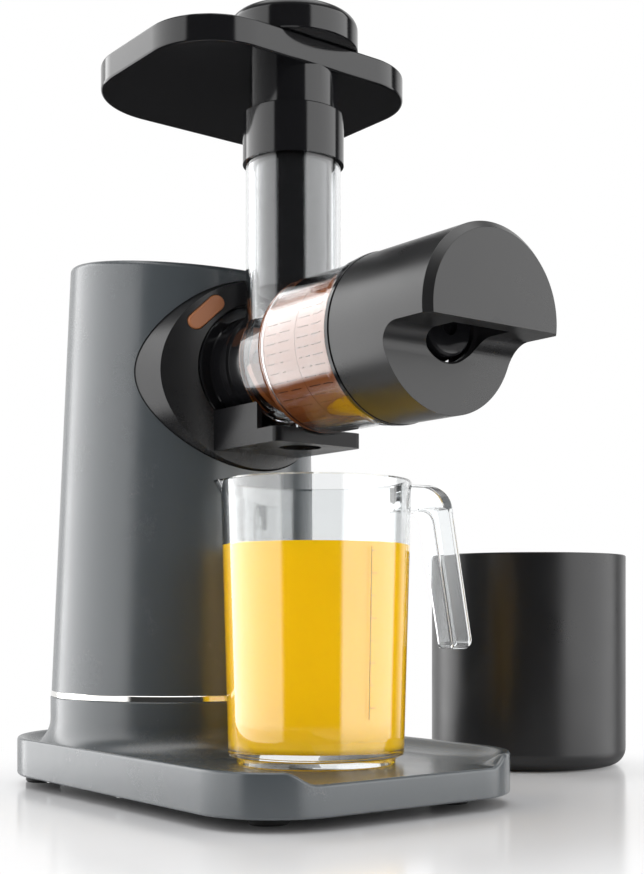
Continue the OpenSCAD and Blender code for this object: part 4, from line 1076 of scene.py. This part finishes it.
# %% Clear plastic
def clear_finish(name, color, *values, **constants):
    """Clear plastic that casts no dark shadow."""
    material = finish(name, color, 0.0, 0.02, *values, 0.006, Transmission_Weight=1.0, IOR=1.5, **constants)
    tree = material.node_tree
    shadow = tree.nodes.new("ShaderNodeLightPath").outputs["Is Shadow Ray"]
    clear = tree.nodes.new("ShaderNodeBsdfTransparent")
    mixed = mix_shaders(tree, shadow, tree.nodes["Principled BSDF"].outputs[0], clear.outputs[0])
    tree.links.new(mixed, tree.nodes["Material Output"].inputs["Surface"])
    return material


# %% The machine's finishes
CLEAR = (0.97, 0.985, 0.99)
finishes = {
    "body_paint": finish("grey_body", (0.073, 0.084, 0.092), 0.2, 0.29, 2600.0, 0.08, 0.04, Specular_IOR_Level=0.85),
    "black_satin": finish("black_satin", (0.013, 0.013, 0.014), 0.24, 0.34, 2200.0, 0.06),
    "black_plain": finish("black_plain", (0.02, 0.02, 0.021), 0.5, 0.62, 1200.0, 0.2),
    "housing_grey": finish("housing_grey", (0.06, 0.06, 0.065), 0.45, 0.6, 900.0, 0.25),
    "chrome_trim": finish("bright_trim", (0.86, 0.85, 0.82), 0.04, 0.09, 900.0, 0.02, 0.02, (1, 1, 14), Metallic=1.0),
    "copper_plastic": finish("copper_key", (0.42, 0.155, 0.06), 0.3, 0.42, 2600.0, 0.1, 0.08),
    "grey_plastic": finish("grey_key", (0.24, 0.24, 0.25), 0.3, 0.42, 2600.0, 0.1),
    "clear_plastic": clear_finish("clear_jug", CLEAR, 60.0, 0.02,
                                  Specular_IOR_Level=0.6, Coat_Weight=0.6, Coat_IOR=1.5),
    "amber_plastic": finish("amber_parts", (0.36, 0.11, 0.03), 0.07, 0.13, 900.0, 0.005, 0.12,
                            Transmission_Weight=0.2, IOR=1.5, Specular_IOR_Level=0.5),
    "white_acetal": finish("acetal", (0.78, 0.77, 0.71), 0.3, 0.45, 1400.0, 0.08),
    "pinion_brass": finish("brass", (0.72, 0.52, 0.22), 0.22, 0.36, 700.0, 0.06, 0.08, (1, 1, 12), Metallic=1.0),
    "steel": finish("steel", (0.56, 0.57, 0.58), 0.24, 0.4, 700.0, 0.06, 0.06, (1, 1, 12), Metallic=1.0),
    "laminations": finish("laminations", (0.2, 0.15, 0.12), 0.45, 0.65, 900.0, 0.3, 0.2, (16, 1, 1), Metallic=0.6),
    "ferrite": finish("ferrite", (0.045, 0.045, 0.05), 0.5, 0.7, 600.0, 0.4, 0.15),
    "board_green": finish("board_green", (0.02, 0.13, 0.05), 0.25, 0.4, 400.0, 0.2, 0.2),
    "rubber_black": finish("rubber", (0.018, 0.018, 0.018), 0.6, 0.78, 900.0, 0.3, 0.1),
    "silicone": finish("silicone", (0.7, 0.7, 0.68), 0.4, 0.55, 900.0, 0.1),
    "gloss_black": finish("black_gloss", (0.008, 0.008, 0.009), 0.08, 0.13, 2600.0, 0.02),
    "cup_black": finish("black_cup", (0.012, 0.012, 0.013), 0.27, 0.36, 2400.0, 0.08),
    "cap_black": finish("black_cap", (0.014, 0.014, 0.0145), 0.26, 0.34, 2400.0, 0.08),
    "chamber_clear": clear_finish("clear_chamber", (0.95, 0.965, 0.975), 40.0, 0.01,
                                  Specular_IOR_Level=0.55, Coat_Weight=0.25, Coat_IOR=1.5),
    "handle_clear": clear_finish("clear_handle", CLEAR, 60.0, 0.02, Specular_IOR_Level=0.35),
    # The bracket's finish is a darker, less shiny copy of black satin. This is painted shade, for the light that the
    # tower and face plate keep from its sides.
    "bracket_black": finish("black_bracket", (0.009, 0.009, 0.01), 0.2, 0.3, 2200.0, 0.06, Specular_IOR_Level=0.2),
    "scale_print": finish("scale_lines", (0.62, 0.48, 0.2), 0.3, 0.45, 900.0, 0.1),
    # The juice's emission is painted light: a glow that stands in for the light which passes through the juice from
    # behind and around it.
    "juice": finish("orange_juice", (1.0, 0.62, 0.003), 0.05, 0.12, 700.0, 0.03, 0.03, Subsurface_Weight=0.1,
                    Subsurface_Radius=(0.006, 0.004, 0.001), Subsurface_Scale=0.5, Specular_IOR_Level=0.6,
                    Emission_Color=(0.95, 0.56, 0.0, 1), Emission_Strength=0.16),
}
print("finishes:", len(finishes))

# %% [markdown]
# A solid that stays as it is takes the finish that its record names. A new piece takes one from a list,
# because two black pieces on the same machine are not equally glossy.

# %% Every solid and piece gets its finish
slot_of = {part["node"]: part["material_slot"] for part in frame["record"]["subparts"]}
for name, node in nodes.items():
    node.data.materials.clear()
    node.data.materials.append(finishes[slot_of[name]])
dressed = {tray: "body_paint", tower: "body_paint", band: "chrome_trim", panel: "gloss_black",
           start_key: "copper_plastic", reverse_key: "grey_plastic", face: "black_satin", key: "copper_plastic",
           bracket: "bracket_black", chamber: "chamber_clear", collar: "gloss_black", auger: "amber_plastic",
           drum: "amber_plastic", ring: "gloss_black", cap: "cap_black", hopper: "gloss_black", stem: "gloss_black",
           lid: "gloss_black", jug: "clear_plastic", handle: "handle_clear", scale: "scale_print", juice: "juice",
           cup: "cup_black"}
for piece in bpy.data.objects:
    if piece.name.startswith("foot_") and piece.name not in nodes:
        dressed[piece] = "rubber_black"
for piece, look in dressed.items():
    piece.data.materials.clear()
    piece.data.materials.append(finishes[look])
print("pieces dressed:", len(dressed))

# %% The auger's tip, in front of the filter, is black
TIP_X = 172 * MM
auger.data.materials.append(finishes["gloss_black"])
for polygon in auger.data.polygons:
    polygon.material_index = int(polygon.center.x > TIP_X)
print("black faces of the tip:", sum(polygon.material_index for polygon in auger.data.polygons))

# %% [markdown]
# ## Floor
# A glossy white table. Near the machine it is a real surface, with its shadow and its reflection. Far
# away it turns into plain white, so that it meets the backdrop without a line, and reflections look
# past it, so that undersides of black pieces stay dark.

# %% Floor
deselect()
bpy.ops.mesh.primitive_circle_add(vertices=96, radius=4.0, fill_type="NGON", location=(0.1, 0.05, 0))
floor = bpy.context.object
floor.name = "floor"
bpy.ops.object.transform_apply(location=True, rotation=True, scale=True)
print("floor size:", [round(v, 2) for v in floor.dimensions])

# %% The table's finish, and where it fades
table = bpy.data.materials.new("table")
table.use_nodes = True
tree = table.node_tree
shader = tree.nodes["Principled BSDF"]
shader.inputs["Base Color"].default_value = (0.86, 0.86, 0.87, 1)
shader.inputs["Roughness"].default_value = 0.16
shader.inputs["IOR"].default_value = 1.45
place_at = tree.nodes.new("ShaderNodeTexCoord").outputs["Object"]
away = tree.nodes.new("ShaderNodeVectorMath")
away.operation = "DISTANCE"
tree.links.new(place_at, away.inputs[0])
away.inputs[1].default_value = (0.1, 0.02, 0)
FADE_NEAR, FADE_FAR = 0.15, 0.32
fade = ramp(tree, away.outputs["Value"], FADE_NEAR, FADE_FAR)
rays = tree.nodes.new("ShaderNodeLightPath")
bright = tree.nodes.new("ShaderNodeEmission")
bright.inputs["Color"].default_value = (1, 1, 1, 1)
seen_far = math_node(tree, "MULTIPLY", fade, straight_view(tree, rays))
far = mix_shaders(tree, seen_far, shader.outputs[0], bright.outputs[0])
clear = tree.nodes.new("ShaderNodeBsdfTransparent")
glossy_far = math_node(tree, "MULTIPLY", fade, rays.outputs["Is Glossy Ray"])
tree.links.new(mix_shaders(tree, glossy_far, far, clear.outputs[0]), tree.nodes["Material Output"].inputs["Surface"])
floor.data.materials.append(table)
print("table nodes:", len(tree.nodes))
